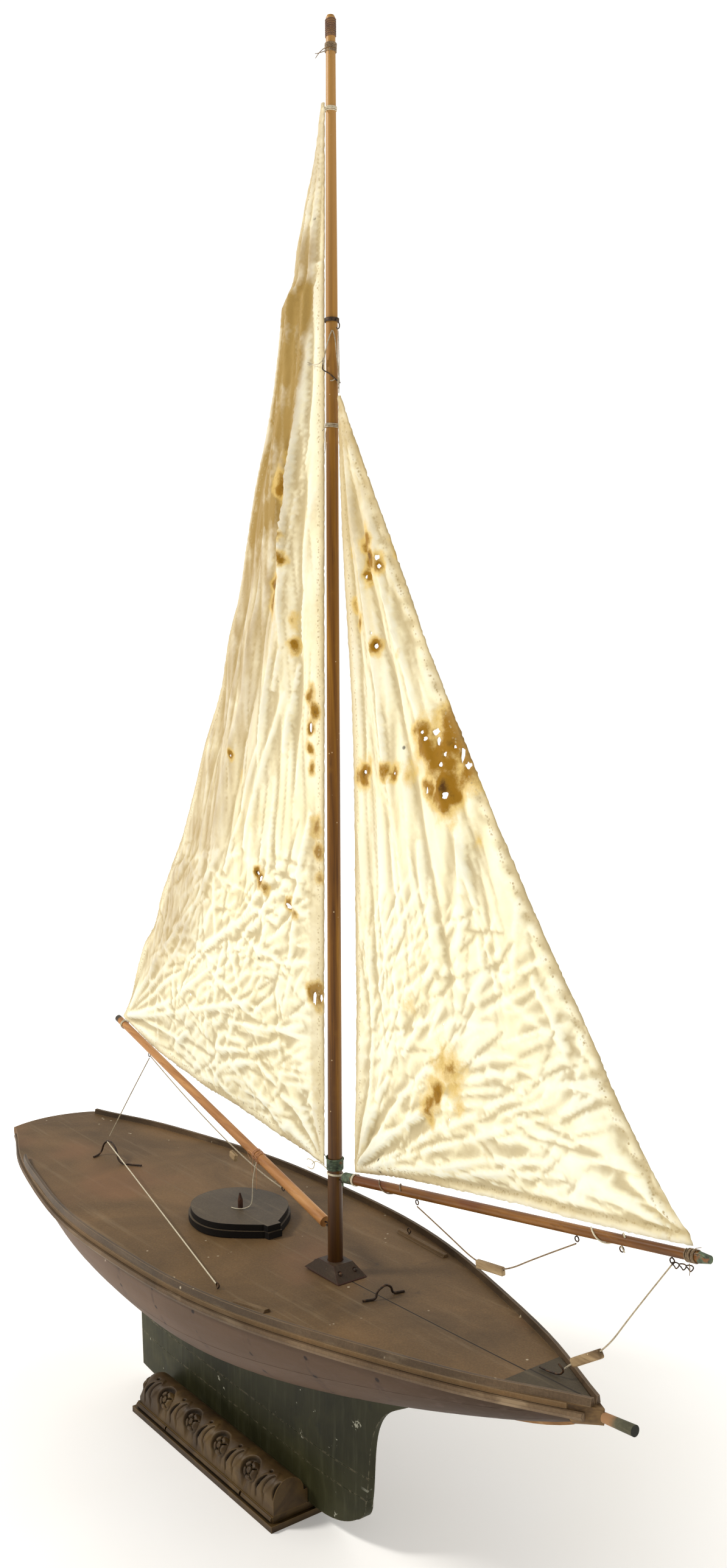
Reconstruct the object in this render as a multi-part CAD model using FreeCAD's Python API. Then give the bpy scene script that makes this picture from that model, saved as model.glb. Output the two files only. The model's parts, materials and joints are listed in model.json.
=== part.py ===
"""Vintage free-sailing pond yacht on a carved stand.

Boat frame used below: x forward, y to port, z up, in millimetres, with zero at the mast's
centre on the deck.  place() moves every piece to the row frame, whose origin is the centre
of the stand's underside.
"""
import FreeCAD, Part
import math
import os

V = FreeCAD.Vector

# ---------------------------------------------------------------- driving dimensions
MAST_X = 189.0            # mast axis, forward of the stand's centre
DECK_Z = 278.0            # deck at the mast, above the table

STERN_X = -702.6          # transom corners
BOW_X = 379.6             # stem face
STATIONS = [0, 0.08, 0.20, 0.35, 0.50, 0.65, 0.80, 0.92, 1]      # share of the hull's length
HALF_BREADTH = [60, 93, 128, 154, 156, 140, 94, 45.4, 3]         # at the deck edge
HULL_DEPTH = [34, 55, 81, 105, 121, 105, 73, 39.5, 14]           # deck edge to keel line
FULLNESS = [2.2, 1.9, 1.5, 1.9, 2.05, 2.1, 2.1, 2.1, 2.1]        # section exponent, 2 is elliptical

PLANK = 5.0               # hull and deck planking
PLANK_INSET = 2.0         # planking stands inside the deck edge
SEAM = 0.003              # open seam between strakes, share of the girth
STRAKES = [("sheer_strake", 0.0, 0.30), ("bilge_strake", 0.30, 0.62), ("garboard", 0.62, 1.0)]
AFT_END, FORE_END = -690.0, 352.0      # ends of the planking
BACKBONE = 10.0           # half thickness
BACKBONE_HEIGHT = 18.0

RAIL_WIDTH, RAIL_HEIGHT = 6.0, 7.0
RUB_WIDTH, RUB_HEIGHT = 4.0, 7.0
PAD_HEIGHT = 3.0

KEEL_HALF = 11.0
KEEL_FOOT = -264.0        # rests on the stand's base
KEEL_AFT = -424.0
SHOE_TOP = -220.0
BOARD_SEAM = -196.0
BOLT_X = [-340.0, -190.0, -40.0]
BOLT_R = 2.0

MAST_RAKE = 0.24          # degrees, head forward
MAST_TOP = 1274.0
MAST_RADII = [(0, 8.0), (131, 7.5), (781, 6.3), (1010, 5.9), (1240, 4.85)]
GOOSENECK = V(-12, 0, 45)
BOOM_SWING = 3.8          # degrees to port at rest
BOOM_RISE = 11.6          # degrees
BOOM_LENGTH = 560.0
BOOM_R_FORE, BOOM_R_AFT = 6.0, 4.7
CLUB_PIVOT = V(14, 0, 99)
CLUB_AFT, CLUB_FORE = V(34, 0, 106.3), V(477, 0, 170.3)
CLUB_R_AFT, CLUB_R_FORE = 5.2, 4.2
SAIL_THICKNESS = 1.0

HATCH_CENTRE_Y = 5.0
HATCH_NOSE_X = -122.0
LID_FOOT = -5.0
HATCH_HOLE = (-240.0, -152.0, -32.0, 42.0)     # x and y limits of the opening in the deck

BASE_LENGTH, BASE_WIDTH, BASE_STEP = 314.0, 124.0, 7.0
ROLL_R, ROLL_Y = 20.0, 36.8
ROLL_LIFT = 16.0          # roll's centre above the base
ROSETTES = 4
ROSETTE_FIRST, ROSETTE_PITCH = -277.0, 63.0
BEADS = [(-340.0, -268.0), (-265.0, -101.0), (-97.0, -38.0)]     # start and end of each length
CORD_R = 0.75
STRING_R = 0.55


# ---------------------------------------------------------------- small tools
def place(shape):
    return shape.translated(V(MAST_X, 0, DECK_Z))


def save(name, shape):
    shape = place(shape)
    if not shape.isValid():
        print("INVALID", name)
    shape.exportStep("parts/%s.step" % name)
    print("%-24s %9.1f mm3  %d solids" % (name, shape.Volume, len(shape.Solids)))


def mirrored(shape):
    """The port twin of a starboard piece."""
    return shape.mirror(V(0, 0, 0), V(0, 1, 0))


def smooth(xs, ys, x):
    """A smooth curve through the points (xs, ys), read at x."""
    last = len(xs) - 1
    x = min(max(x, xs[0]), xs[last])
    i = max(k for k in range(last) if xs[k] <= x)
    slopes = [(ys[k + 1] - ys[k]) / (xs[k + 1] - xs[k]) for k in range(last)]

    def tangent(k):
        before, after = slopes[max(k - 1, 0)], slopes[min(k, last - 1)]
        if before * after <= 0 and 0 < k < last:
            return 0.0
        return (before + after) / 2

    width = xs[i + 1] - xs[i]
    t = (x - xs[i]) / width
    rise = ys[i] * (1 + 2 * t) * (1 - t) ** 2 + ys[i + 1] * t * t * (3 - 2 * t)
    bend = tangent(i) * t * (1 - t) ** 2 - tangent(i + 1) * t * t * (1 - t)
    return rise + bend * width


def spaced(start, end, count):
    return [start + (end - start) * k / (count - 1) for k in range(count)]


def curve(points):
    if len(points) == 2:
        return Part.makeLine(points[0], points[1])
    spline = Part.BSplineCurve()
    spline.interpolate(points)
    return spline.toShape()


def band(front, back):
    """Closed outline between two open curves that run the same way."""
    edges = [
        curve(front),
        Part.makeLine(front[-1], back[-1]),
        curve(back[::-1]),
        Part.makeLine(back[0], front[0]),
    ]
    return Part.Wire(edges)


def polygon(points):
    return Part.makePolygon(list(points) + [points[0]])


def loft(outlines):
    solid = Part.makeLoft(outlines, True, False)
    if solid.Volume < 0:
        solid.reverse()
    return solid


def prism(outline, direction):
    return Part.Face(outline).extrude(direction)


def box(x0, x1, y0, y1, z0, z1):
    return Part.makeBox(x1 - x0, y1 - y0, z1 - z0, V(x0, y0, z0))


def rod(start, end, radius, end_radius=None):
    """Round bar between two points, tapered if end_radius is given."""
    along = end - start
    if end_radius is None or abs(end_radius - radius) < 1e-6:
        return Part.makeCylinder(radius, along.Length, start, along)
    return Part.makeCone(radius, end_radius, along.Length, start, along)


def group(shapes):
    return Part.makeCompound(shapes)


def ring(centre, axis, radius, wire):
    return Part.makeTorus(radius, wire, centre, axis)


def route(points, radius_scale=0.45):
    """Straight runs joined by arcs that are tangent to both runs."""
    edges, start, radii = [], points[0], []
    for before, corner, after in zip(points, points[1:], points[2:]):
        back, ahead = before - corner, after - corner
        turn = math.pi - back.getAngle(ahead)
        reach = radius_scale * min(back.Length, ahead.Length)
        radii.append(reach / math.tan(turn / 2))
        back.normalize()
        ahead.normalize()
        enter, leave = corner + back * reach, corner + ahead * reach
        middle = (back + ahead).normalize()
        bulge = radii[-1] * (1 / math.cos(turn / 2) - 1)
        edges.append(Part.makeLine(start, enter))
        edges.append(Part.Arc(enter, corner + middle * bulge, leave).toShape())
        start = leave
    edges.append(Part.makeLine(start, points[-1]))
    return Part.Wire(edges), radii


def tube(points, radius, name=None):
    """Cord or bent wire of one thickness along a route."""
    wire, radii = route(points)
    start = points[0]
    circle = Part.Wire(Part.makeCircle(radius, start, points[1] - start))
    solid = wire.makePipeShell([circle], True, False)
    if solid.Volume < 0:
        solid.reverse()
    if name:
        share = solid.Volume / (math.pi * radius**2 * wire.Length)
        tightest = min(radii) if radii else 0
        print("%-24s length %.1f  tightest radius %.1f  volume share %.3f" % (
            name, wire.Length, tightest, share))
    return solid


# ---------------------------------------------------------------- hull lines
def share_at(x):
    return (x - STERN_X) / (BOW_X - STERN_X)


def half_breadth(x):
    return smooth(STATIONS, HALF_BREADTH, share_at(x))


def sheer(x):
    """Height of the deck, which rises gently towards the bow."""
    k = x / 500
    return 12.8 * k + 5.5 * k * k - 2.5


def keel_line(x):
    return sheer(x) - smooth(STATIONS, HULL_DEPTH, share_at(x))


def section_point(x, angle, inward=0.0):
    """Starboard point of the section at x: angle 0 is the deck edge, 90 the keel line."""
    power = 2 / smooth(STATIONS, FULLNESS, share_at(x))
    breadth = half_breadth(x) - PLANK_INSET
    top = sheer(x) - PLANK - 0.2
    depth = top - keel_line(x)

    def at(a):
        a = math.radians(a)
        return V(x, -breadth * math.cos(a) ** power, top - depth * math.sin(a) ** power)

    point = at(angle)
    if inward:
        step = at(min(angle + 1, 89.9)) - at(max(angle - 1, 0.0))
        point = point + V(0, -step.z, step.y).normalize() * inward
        point.z = min(point.z, top)
    return point


def last_angle(x):
    """Angle at which the section reaches the backbone's side."""
    breadth = half_breadth(x) - PLANK_INSET
    fullness = smooth(STATIONS, FULLNESS, share_at(x))
    reach = min((BACKBONE + 0.5) / breadth, 0.9)
    return math.degrees(math.acos(reach ** (fullness / 2)))


def section_curve(x, low, high, inward=0.0, count=5):
    last = last_angle(x)
    return [section_point(x, last * t, inward) for t in spaced(low, high, count)]


# ---------------------------------------------------------------- hull
def strake(low, high):
    """One plank, lofted through the stations between two shares of the girth."""
    low = low + SEAM / 2 if low > 0 else low
    high = high - SEAM / 2
    outlines = []
    for x in spaced(AFT_END, FORE_END, 13):
        outer = section_curve(x, low, high)
        inner = section_curve(x, low, high, PLANK)
        outlines.append(band(outer, inner))
    return loft(outlines)


def closed_section(x, inset=0.0):
    """Whole outline of the hull at x, both sides, up to the deck's top."""
    side = [section_point(x, a, inset) for a in (0, 25, 50, 70, 86)]
    top = sheer(x)
    near = [V(x, p.y, p.z) for p in side]
    far = [V(x, -p.y, p.z) for p in side[::-1]]
    lines = [
        curve(near + far),
        Part.makeLine(far[-1], V(x, far[-1].y, top)),
        Part.makeLine(V(x, far[-1].y, top), V(x, near[0].y, top)),
        Part.makeLine(V(x, near[0].y, top), near[0]),
    ]
    return Part.Wire(lines)


def transom():
    """Solid stern block with a rounded after face."""
    bulge, half = 15.0, half_breadth(STERN_X) + 1
    block = prism(closed_section(AFT_END - 0.3), V(-40, 0, 0))
    radius = (half**2 + bulge**2) / (2 * bulge)
    centre = STERN_X - bulge + radius
    round_face = Part.makeCylinder(radius, 120, V(centre, 0, -90))
    return block.common(round_face)


def stem():
    """Solid bow block, narrowing to a flat stem face."""
    outlines = [closed_section(x) for x in (FORE_END + 0.3, 362, 371, BOW_X)]
    return loft(outlines)


def backbone():
    outlines = []
    for x in spaced(AFT_END + 2, FORE_END - 1, 11):
        low = keel_line(x) + 0.5
        high = low + min(BACKBONE_HEIGHT, 0.45 * (sheer(x) - low))
        half = min(BACKBONE, 0.35 * half_breadth(x))
        outlines.append(polygon([V(x, -half, low), V(x, half, low), V(x, half, high), V(x, -half, high)]))
    return loft(outlines)


FRAME_X = [-620.0, -500.0, -380.0, -290.0, -100.0, 40.0, 160.0, 270.0]


def frames():
    """A pair of sawn ribs at each station, just inside the planking."""
    thick, moulded, clear = 6.0, 10.0, 3.0
    ribs = []
    for x in FRAME_X:
        outer = section_curve(x, 0.03, 0.90, PLANK + clear)
        inner = section_curve(x, 0.03, 0.90, PLANK + clear + moulded)
        rib = prism(band(outer, inner), V(thick, 0, 0))
        rib = rib.cut(box(x - 1, x + thick + 1, -200, 0, sheer(x) - PLANK - 1, 60))
        ribs += [rib, mirrored(rib)]
    return group(ribs)


def deck_beams():
    beams = []
    for x in FRAME_X:
        half = half_breadth(x) - PLANK_INSET - PLANK - 16
        top = sheer(x) - PLANK - 0.8
        beams.append(box(x - 7, x - 1, -half, half, top - 9, top))
    return group(beams)


def deck_half():
    """Starboard half of the deck, with its share of the mast hole and the hatch opening."""
    outlines = []
    for x in spaced(AFT_END, FORE_END, 13):
        edge, top = -(half_breadth(x) - 1), sheer(x)
        corners = [(-0.2, top), (edge, top), (edge, top - PLANK), (-0.2, top - PLANK)]
        outlines.append(polygon([V(x, y, z) for y, z in corners]))
    return loft(outlines)


def deck_openings():
    x0, x1, y0, y1 = HATCH_HOLE
    mast_hole = Part.makeCylinder(MAST_RADII[0][1] + 0.4, 60, V(0, 0, -40))
    return mast_hole.fuse(box(x0, x1, y0, y1, -40, 20))


def hatch_lining():
    """Thin frame that lines the deck opening."""
    x0, x1, y0, y1 = HATCH_HOLE
    outer = box(x0 + 0.2, x1 - 0.2, y0 + 0.2, y1 - 0.2, -20, -8.2)
    return outer.cut(box(x0 + 4, x1 - 4, y0 + 4, y1 - 4, -30, 10))


def edge_strip(x_aft, x_fore, outline_at, count=13):
    """Long strip that follows the deck edge; outline_at gives its section at x."""
    return loft([outline_at(x) for x in spaced(x_aft, x_fore, count)])


def toe_rail_outline(x):
    edge, low = -(half_breadth(x) - 1.5), sheer(x) + 0.1
    inner = min(edge + RAIL_WIDTH, -0.6)
    return polygon([
        V(x, edge, low),
        V(x, inner, low),
        V(x, inner - 1.2, low + RAIL_HEIGHT),
        V(x, edge + 1.2, low + RAIL_HEIGHT),
    ])


def rubbing_outline(x):
    inner = -(half_breadth(x) - PLANK_INSET + 0.7)
    top = sheer(x) - PLANK - 0.5
    return polygon([
        V(x, inner, top),
        V(x, inner - RUB_WIDTH * 0.7, top),
        V(x, inner - RUB_WIDTH, top - RUB_HEIGHT / 2),
        V(x, inner - RUB_WIDTH * 0.5, top - RUB_HEIGHT),
        V(x, inner + 0.2, top - RUB_HEIGHT),
    ])


def bow_cap():
    """Triangular cover board over the stem head."""
    aft, thick = 292.0, 3.0
    outlines = []
    for x in (aft, 316.0, 340.0, 361.0):
        half, low = half_breadth(x) - 9.0, sheer(x) + 0.2
        corners = [(-half, low), (half, low), (half, low + thick), (-half, low + thick)]
        outlines.append(polygon([V(x, y, z) for y, z in corners]))
    return loft(outlines)


def bowsprit_stub():
    return rod(V(BOW_X + 0.2, 0, 3.5), V(413.5, 0, 6.7), 4.3, 4.8)


# ---------------------------------------------------------------- fin keel
def keel_side():
    """Profile of the whole fin in the centre plane: a knee under the hull, a steep fore edge, a tight toe."""
    top = [V(x, 0, keel_line(x) - 0.3) for x in spaced(-434.0, 146.0, 13)]
    fore = [top[-1], V(116, 0, -100), V(86, 0, -119.5), V(70, 0, -144), V(63, 0, -178), V(57.5, 0, -224)]
    heel = V(KEEL_AFT, 0, KEEL_FOOT)
    edges = [
        curve(top),
        curve(fore),
        Part.Arc(V(57.5, 0, -224), V(54.5, 0, -237), V(44, 0, -246)).toShape(),
        curve([V(44, 0, -246), V(28, 0, -255), V(8, 0, -261), V(-24, 0, KEEL_FOOT)]),
        Part.makeLine(V(-24, 0, KEEL_FOOT), heel),
        Part.makeLine(heel, top[0]),
    ]
    return Part.Wire(edges)


FIN_HALF = [(-440, 4), (-380, 9), (-300, KEEL_HALF), (-50, KEEL_HALF), (20, 9.0), (60, 4.5), (150, 3)]


def fin():
    """The profile as a thick slab, thinned towards both ends."""
    side = keel_side().translated(V(0, -KEEL_HALF, 0))
    slab = prism(side, V(0, 2 * KEEL_HALF, 0))
    near = [V(x, -half, -300) for x, half in FIN_HALF]
    far = [V(x, half, -300) for x, half in FIN_HALF]
    body = slab.common(prism(band(near, far), V(0, 0, 300)))
    for x in BOLT_X:
        body = body.cut(rod(V(x, 0, -300), V(x, 0, 0), BOLT_R + 0.25))
    return body


def fin_part(body, low, high):
    return body.common(box(-500, 200, -30, 30, low, high))


def keel_bolts():
    bolts = []
    for x in BOLT_X:
        head = keel_line(x) + BACKBONE_HEIGHT + 1
        nut = prism(polygon([
            V(x + 4 * math.cos(math.radians(a)), 4 * math.sin(math.radians(a)), head)
            for a in range(0, 360, 60)
        ]), V(0, 0, 3.5))
        shank = rod(V(x, 0, KEEL_FOOT + 6), V(x, 0, head + 6), BOLT_R)
        bolts.append(shank.fuse(nut))
    return group(bolts)


# ---------------------------------------------------------------- mast and its fittings
def raked(shape):
    return shape.rotated(V(0, 0, 0), V(0, 1, 0), MAST_RAKE)


def mast_radius(z):
    return smooth([p[0] for p in MAST_RADII], [p[1] for p in MAST_RADII], z)


def mast_heel():
    return keel_line(0) + BACKBONE_HEIGHT + 8


def mast():
    """Turned spar: a parallel heel, a slow taper and a chamfered truck."""
    heel, radius = mast_heel() + 0.5, MAST_RADII[0][1]
    side = [(heel, radius)] + MAST_RADII + [(MAST_TOP - 3, 4.7), (MAST_TOP - 0.8, 3.6), (MAST_TOP, 2.0)]
    outline = [V(0, 0, heel)] + [V(r, 0, z) for z, r in side] + [V(0, 0, MAST_TOP)]
    return raked(Part.Face(polygon(outline)).revolve(V(0, 0, 0), V(0, 0, 1), 360))


def mast_sleeve(low, high, wall, clear=0.15):
    """Closed collar round the mast."""
    inner = max(mast_radius(low), mast_radius(high)) + clear
    outer = Part.makeCylinder(inner + wall, high - low, V(0, 0, low))
    return raked(outer.cut(Part.makeCylinder(inner, high - low, V(0, 0, low))))


def block_screws():
    """Seats of the four screws that hold the mast block down."""
    top = sheer(-30) + 8.4
    return [(x, y, top) for x in (-22, 22) for y in (-9.5, 9.5)]


def mast_block():
    """Bevelled partner block that the mast passes through, with a flat seat for each screw."""
    length, width, height = 61.0, 37.0, 13.0
    low = sheer(-30) + 2.2
    foot = polygon([V(-length / 2, -width / 2, low), V(length / 2, -width / 2, low),
                    V(length / 2, width / 2, low), V(-length / 2, width / 2, low)])
    crown = polygon([V(-14, -12, low + height), V(14, -12, low + height),
                     V(14, 12, low + height), V(-14, 12, low + height)])
    block = Part.makeLoft([foot, crown], True, True)
    for x, y, z in block_screws():
        block = block.cut(Part.makeCylinder(2.7, 12, V(x, y, z - 0.1)))
        block = block.cut(Part.makeCylinder(1.3, 12, V(x, y, z - 10)))
    return block.cut(Part.makeCylinder(MAST_RADII[0][1] + 0.4, 60, V(0, 0, -30)))


def mast_step():
    low = max(keel_line(-24), keel_line(24)) + BACKBONE_HEIGHT + 0.8
    block = box(-24, 24, -9.5, 9.5, low, low + 22)
    return block.cut(Part.makeCylinder(MAST_RADII[0][1] + 0.6, 40, V(0, 0, mast_heel())))


def screw_at(x, y, z):
    """Round-headed wood screw, head up."""
    head = Part.makeSphere(2.4, V(x, y, z)).common(box(x - 3, x + 3, y - 3, y + 3, z, z + 3))
    return head.fuse(Part.makeCylinder(1.1, 6.5, V(x, y, z - 6.5)))


def eye_screw(tip, direction, ring_radius=3.0, wire=0.7, shank=6.0, ring_axis=V(0, 1, 0)):
    """Screw eye whose shank starts at tip and runs along direction to its ring."""
    ahead = V(direction).normalize()
    centre = tip + ahead * (shank + ring_radius)
    bar = rod(tip, tip + ahead * (shank + 0.2), wire * 0.9)
    return bar.fuse(ring(centre, ring_axis, ring_radius, wire))


def mast_eyes():
    """The eye for the jib club on the fore side and the gooseneck eye on the after side."""
    club = eye_screw(V(8.3, 0, CLUB_PIVOT.z), V(1, 0, 0), 2.6, 0.8, 3.0, V(0, 0, 1))
    goose = eye_screw(V(-8.3, 0, GOOSENECK.z), V(-1, 0, 0), 2.2, 0.7, 1.5, V(0, 0, 1))
    return group([club, goose])


def halyard_ring():
    """Wire collar at the hounds with a hanging hook for the jib's halyard."""
    z = 977.0
    collar = mast_sleeve(z - 1.5, z + 1.5, 1.4)
    lean = z * math.tan(math.radians(MAST_RAKE))
    hook = tube([
        V(lean + 8.1, 0, z),
        V(lean + 10.0, 0, z - 3.6),
        V(lean + 13.2, 0, z - 6.2),
        V(lean + 13.0, 0, z - 10.0),
        V(lean + 10.2, 0, z - 11.2),
        V(lean + 8.2, 0, z - 9.0),
    ], 0.6)
    return group([collar, hook])


# ---------------------------------------------------------------- deck fittings
def wire_horse(points, wire=1.2):
    return tube(points, wire)


def main_horse():
    foot = sheer(-480) + 1.4
    return wire_horse([
        V(-509, -31, foot),
        V(-517, -16, foot),
        V(-511, -15, foot + 15),
        V(-496, -14, foot + 23),
        V(-476, -14, foot + 17),
        V(-466, -16, foot),
        V(-438, 3, foot + 0.6),
    ])


def jib_horse():
    foot = sheer(80) + 1.4
    return wire_horse([
        V(78, -23, foot),
        V(82.5, -9.5, foot),
        V(82, -8, foot + 7),
        V(82, 3, foot + 11.5),
        V(81.5, 10.5, foot + 7),
        V(81.5, 12, foot),
        V(85, 24.5, foot),
    ])


def deck_pad(aft, fore, half_width):
    """Low wooden strip on the deck between two points, bevelled all along."""
    outlines = []
    for x, y in (aft, fore):
        low = sheer(x) + 0.3
        corners = [(-half_width, low), (half_width, low), (half_width - 2, low + PAD_HEIGHT),
                   (2 - half_width, low + PAD_HEIGHT)]
        outlines.append(polygon([V(x, y + side, z) for side, z in corners]))
    return Part.makeLoft(outlines, True, True)


def deck_pads():
    return group([deck_pad((-2, -122), (37, -109), 4.5), deck_pad((-48, 124), (42, 115.5), 4.0)])


def deck_eyes():
    """One in the deck by the starboard rail, one in the port pad."""
    starboard = eye_screw(V(-43, -117, sheer(-43) + 0.1), V(0, 0, 1), 2.6, 0.7, 1.2)
    port = eye_screw(V(-29, 122.3, sheer(-29) + PAD_HEIGHT + 0.5), V(0, 0, 1), 2.6, 0.7, 1.2)
    return group([starboard, port])


def bow_hook():
    """Wire hook stapled through the bow cap on the centreline."""
    foot = sheer(312) + 4.6
    return tube([
        V(298, 6, foot),
        V(310, 7, foot),
        V(321, 8, foot + 1.5),
        V(327, 7, foot + 8),
        V(321, 6, foot + 12),
    ], 0.9)


# ---------------------------------------------------------------- hatch
def hatch_outline(grow, z):
    """Shield-shaped plate: a nose forward, ogee shoulders, a round after end."""
    shoulder = [(-8, 12), (-30, 38), (-50, 53), (-75, 58), (-103, 52), (-130, 33), (-141, 0)]
    nose, notch = (0.0, 9.0), (-7.0, 10.0)

    def at(p, side):
        reach = math.hypot(p[0] + 75, p[1])
        k = (reach + grow) / reach
        return V(HATCH_NOSE_X - 75 + (p[0] + 75) * k, HATCH_CENTRE_Y + side * p[1] * k, z)

    port = [at(p, 1) for p in shoulder]
    starboard = [at(p, -1) for p in shoulder[:-1]]
    edges = [
        Part.makeLine(at(nose, -1), at(nose, 1)),
        Part.makeLine(at(nose, 1), at(notch, 1)),
        Part.makeLine(at(notch, 1), port[0]),
        curve(port + starboard[::-1]),
        Part.makeLine(starboard[0], at(notch, -1)),
        Part.makeLine(at(notch, -1), at(nose, -1)),
    ]
    return Part.Wire(edges)


def hatch_plate(grow, z, thick):
    return prism(hatch_outline(grow, z), V(0, 0, thick))


def hatch_peg():
    """Whittled upright peg that the lid is lifted by."""
    foot = LID_FOOT + 14.8
    x, y = -190.0, 1.0
    stem_part = rod(V(x, y, foot), V(x, y, foot + 10), 3.0)
    return stem_part.fuse(rod(V(x, y, foot + 10), V(x - 0.8, y, foot + 18), 3.0, 0.7))


# ---------------------------------------------------------------- main rig
def boom_point(reach, height):
    """Point in the boom's plane: reach aft of the gooseneck, height above deck datum."""
    a = math.radians(BOOM_SWING)
    return V(GOOSENECK.x - reach * math.cos(a), reach * math.sin(a), height)


def boom_axis(along):
    """Point on the boom's centreline, along it from the gooseneck."""
    a = math.radians(BOOM_RISE)
    return boom_point(along * math.cos(a), GOOSENECK.z + along * math.sin(a))


def boom():
    return rod(boom_axis(7), boom_axis(BOOM_LENGTH + 7), BOOM_R_FORE, BOOM_R_AFT)


BOOM_EYE_ALONG, LINE_EYE_ALONG, WRAP_ALONG = 462.0, 98.0, 157.0


def boom_radius(along):
    return BOOM_R_FORE + (BOOM_R_AFT - BOOM_R_FORE) * along / BOOM_LENGTH


def under_boom(along, drop):
    """Point below the boom's underside."""
    p = boom_axis(along)
    return V(p.x, p.y, p.z - boom_radius(along) / math.cos(math.radians(BOOM_RISE)) - drop)


def boom_eyes():
    """Gooseneck hook, sheet eye and line eye, all of the same wire."""
    bend = GOOSENECK + V(0, 0, 2.2)
    arm = rod(boom_axis(6.9), bend, 0.8)
    eyes = [arm.fuse(rod(bend + V(0, 0, 0.6), GOOSENECK - V(0, 0, 7), 0.9))]
    for along in (BOOM_EYE_ALONG, LINE_EYE_ALONG):
        tip = under_boom(along, 0.3)
        eyes.append(eye_screw(tip, V(0, 0, -1), 2.4, 0.6, 1.0, V(0, 1, 0)))
    return group(eyes)


def sail(luff_at, leech_at, camber, foot_sag):
    """Cambered cloth: a surface through columns of points from luff to leech, thickened sideways.

    luff_at and leech_at give the edges' points at a height share from 0, the foot, to 1.
    """
    columns = []
    for s in spaced(0, 1, 7):
        column = []
        for t in (0, 0.12, 0.28, 0.46, 0.64, 0.82, 1):
            luff, leech = luff_at(t), leech_at(t)
            belly = camber * (leech - luff).Length * 4 * s * (1 - s)
            sag = foot_sag * 4 * s * (1 - s) * (1 - t) ** 4
            column.append(luff + (leech - luff) * s - V(0, belly + SAIL_THICKNESS / 2, sag))
        columns.append(column)
    cloth = Part.BSplineSurface()
    cloth.interpolate(columns)
    return cloth.toShape().extrude(V(0, SAIL_THICKNESS, 0))


TACK, MAIN_HEAD = (8.0, 106.0), (-7.0, 1194.0)          # reach and height of the luff's ends
MAIN_LEECH = [(166, 533), (280, 454), (380, 374), (488, 296), (605, 222), (740, 165), (892, 107), (1026, 66),
              (1110, 29), (1194, 0)]
LEECH_TO_STARBOARD = 9.0
CAMBER = 0.05


def main_luff(t):
    return boom_point(TACK[0] + (MAIN_HEAD[0] - TACK[0]) * t, TACK[1] + (MAIN_HEAD[1] - TACK[1]) * t)


def main_leech(t):
    low, high = MAIN_LEECH[0][0], MAIN_LEECH[-1][0]
    z = low + (high - low) * t
    reach = smooth([p[0] for p in MAIN_LEECH], [p[1] for p in MAIN_LEECH], z)
    return boom_point(reach, z) - V(0, LEECH_TO_STARBOARD * math.sin(math.pi * t), 0)


def mainsail():
    return sail(main_luff, main_leech, CAMBER, 8.0)


# ---------------------------------------------------------------- jib rig
def club_axis(t):
    return CLUB_AFT + (CLUB_FORE - CLUB_AFT) * t


def club_at(x):
    """Point on the club's centreline above deck station x."""
    return club_axis((x - CLUB_AFT.x) / (CLUB_FORE.x - CLUB_AFT.x))


def club_radius(x):
    t = (x - CLUB_AFT.x) / (CLUB_FORE.x - CLUB_AFT.x)
    return CLUB_R_AFT + (CLUB_R_FORE - CLUB_R_AFT) * t


def jib_club():
    return rod(CLUB_AFT, CLUB_FORE, CLUB_R_AFT, CLUB_R_FORE)


def club_ferrules():
    """Metal caps on both ends; the after one carries the hook that drops in the mast's eye."""
    ahead = (CLUB_FORE - CLUB_AFT).normalize()
    cap = rod(CLUB_FORE + ahead * 0.2, CLUB_FORE + ahead * 10, CLUB_R_FORE + 0.4, CLUB_R_FORE - 1.0)
    aft = rod(CLUB_AFT - ahead * 15, CLUB_AFT - ahead * 0.2, CLUB_R_AFT + 0.4)
    neck = rod(CLUB_PIVOT + V(0, 0, 2.6), CLUB_AFT - ahead * 14.8, 1.0)
    pin = rod(CLUB_PIVOT + V(0, 0, 3.4), CLUB_PIVOT - V(0, 0, 5), 1.0)
    return group([cap, aft.fuse(neck).fuse(pin)])


def club_eyes():
    """Screw eyes under the club for the sheet and the tack line."""
    eyes = []
    for x in (136.0, 348.0, 398.0, 450.0):
        p = club_at(x)
        tip = V(p.x, 0, p.z - club_radius(x) - 0.5)
        eyes.append(eye_screw(tip, V(0, 0, -1), 2.2, 0.6, 0.6))
    return group(eyes)


JIB_LUFF = [(176, 470), (237, 418), (276, 392), (347, 343), (403, 305), (503, 240), (612, 175), (729, 111),
            (828, 57), (900, 19)]
JIB_LEECH = [(118, 36), (258, 40), (443, 39), (596, 33), (773, 20), (900, 13.5)]


def jib_edge(points):
    """Edge of the jib as a function of the height share."""
    low, high = points[0][0], points[-1][0]

    def at(t):
        z = low + (high - low) * t
        return V(smooth([p[0] for p in points], [p[1] for p in points], z), 0, z)

    return at


def jib_sail():
    return sail(jib_edge(JIB_LEECH), jib_edge(JIB_LUFF), CAMBER, 3.0)


# ---------------------------------------------------------------- cords
MAIN_SHEET = [V(-463.5, 30.0, 125.0), V(-484, 6, 66), V(-497, -13, 19.5)]
SHEET_TAIL = [V(-497, -16.5, 12.5), V(-463, -17.5, 3), V(-46.8, -117, 0.8)]
JIB_SHEET = [V(136, 0, 108.7), V(180, 0, 95.6), V(223, 0, 81.4), V(258, 0, 85.4), V(300, 0, 112), V(347, 0, 139.5)]
TACK_LINE = [V(449.5, 0, 155.3), V(411, 1.5, 105), V(376, 3, 56), V(338, 3, 32), V(329.5, 5, 23.5)]
JIB_HALYARD = [V(14.8, 0, 964.5), V(17.0, 0, 934), V(15.5, 0, 903.0)]


def boom_line_points():
    return [boom_point(448.5, 128), boom_point(214, 59.5), boom_point(99.6, 55.3)]


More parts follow.
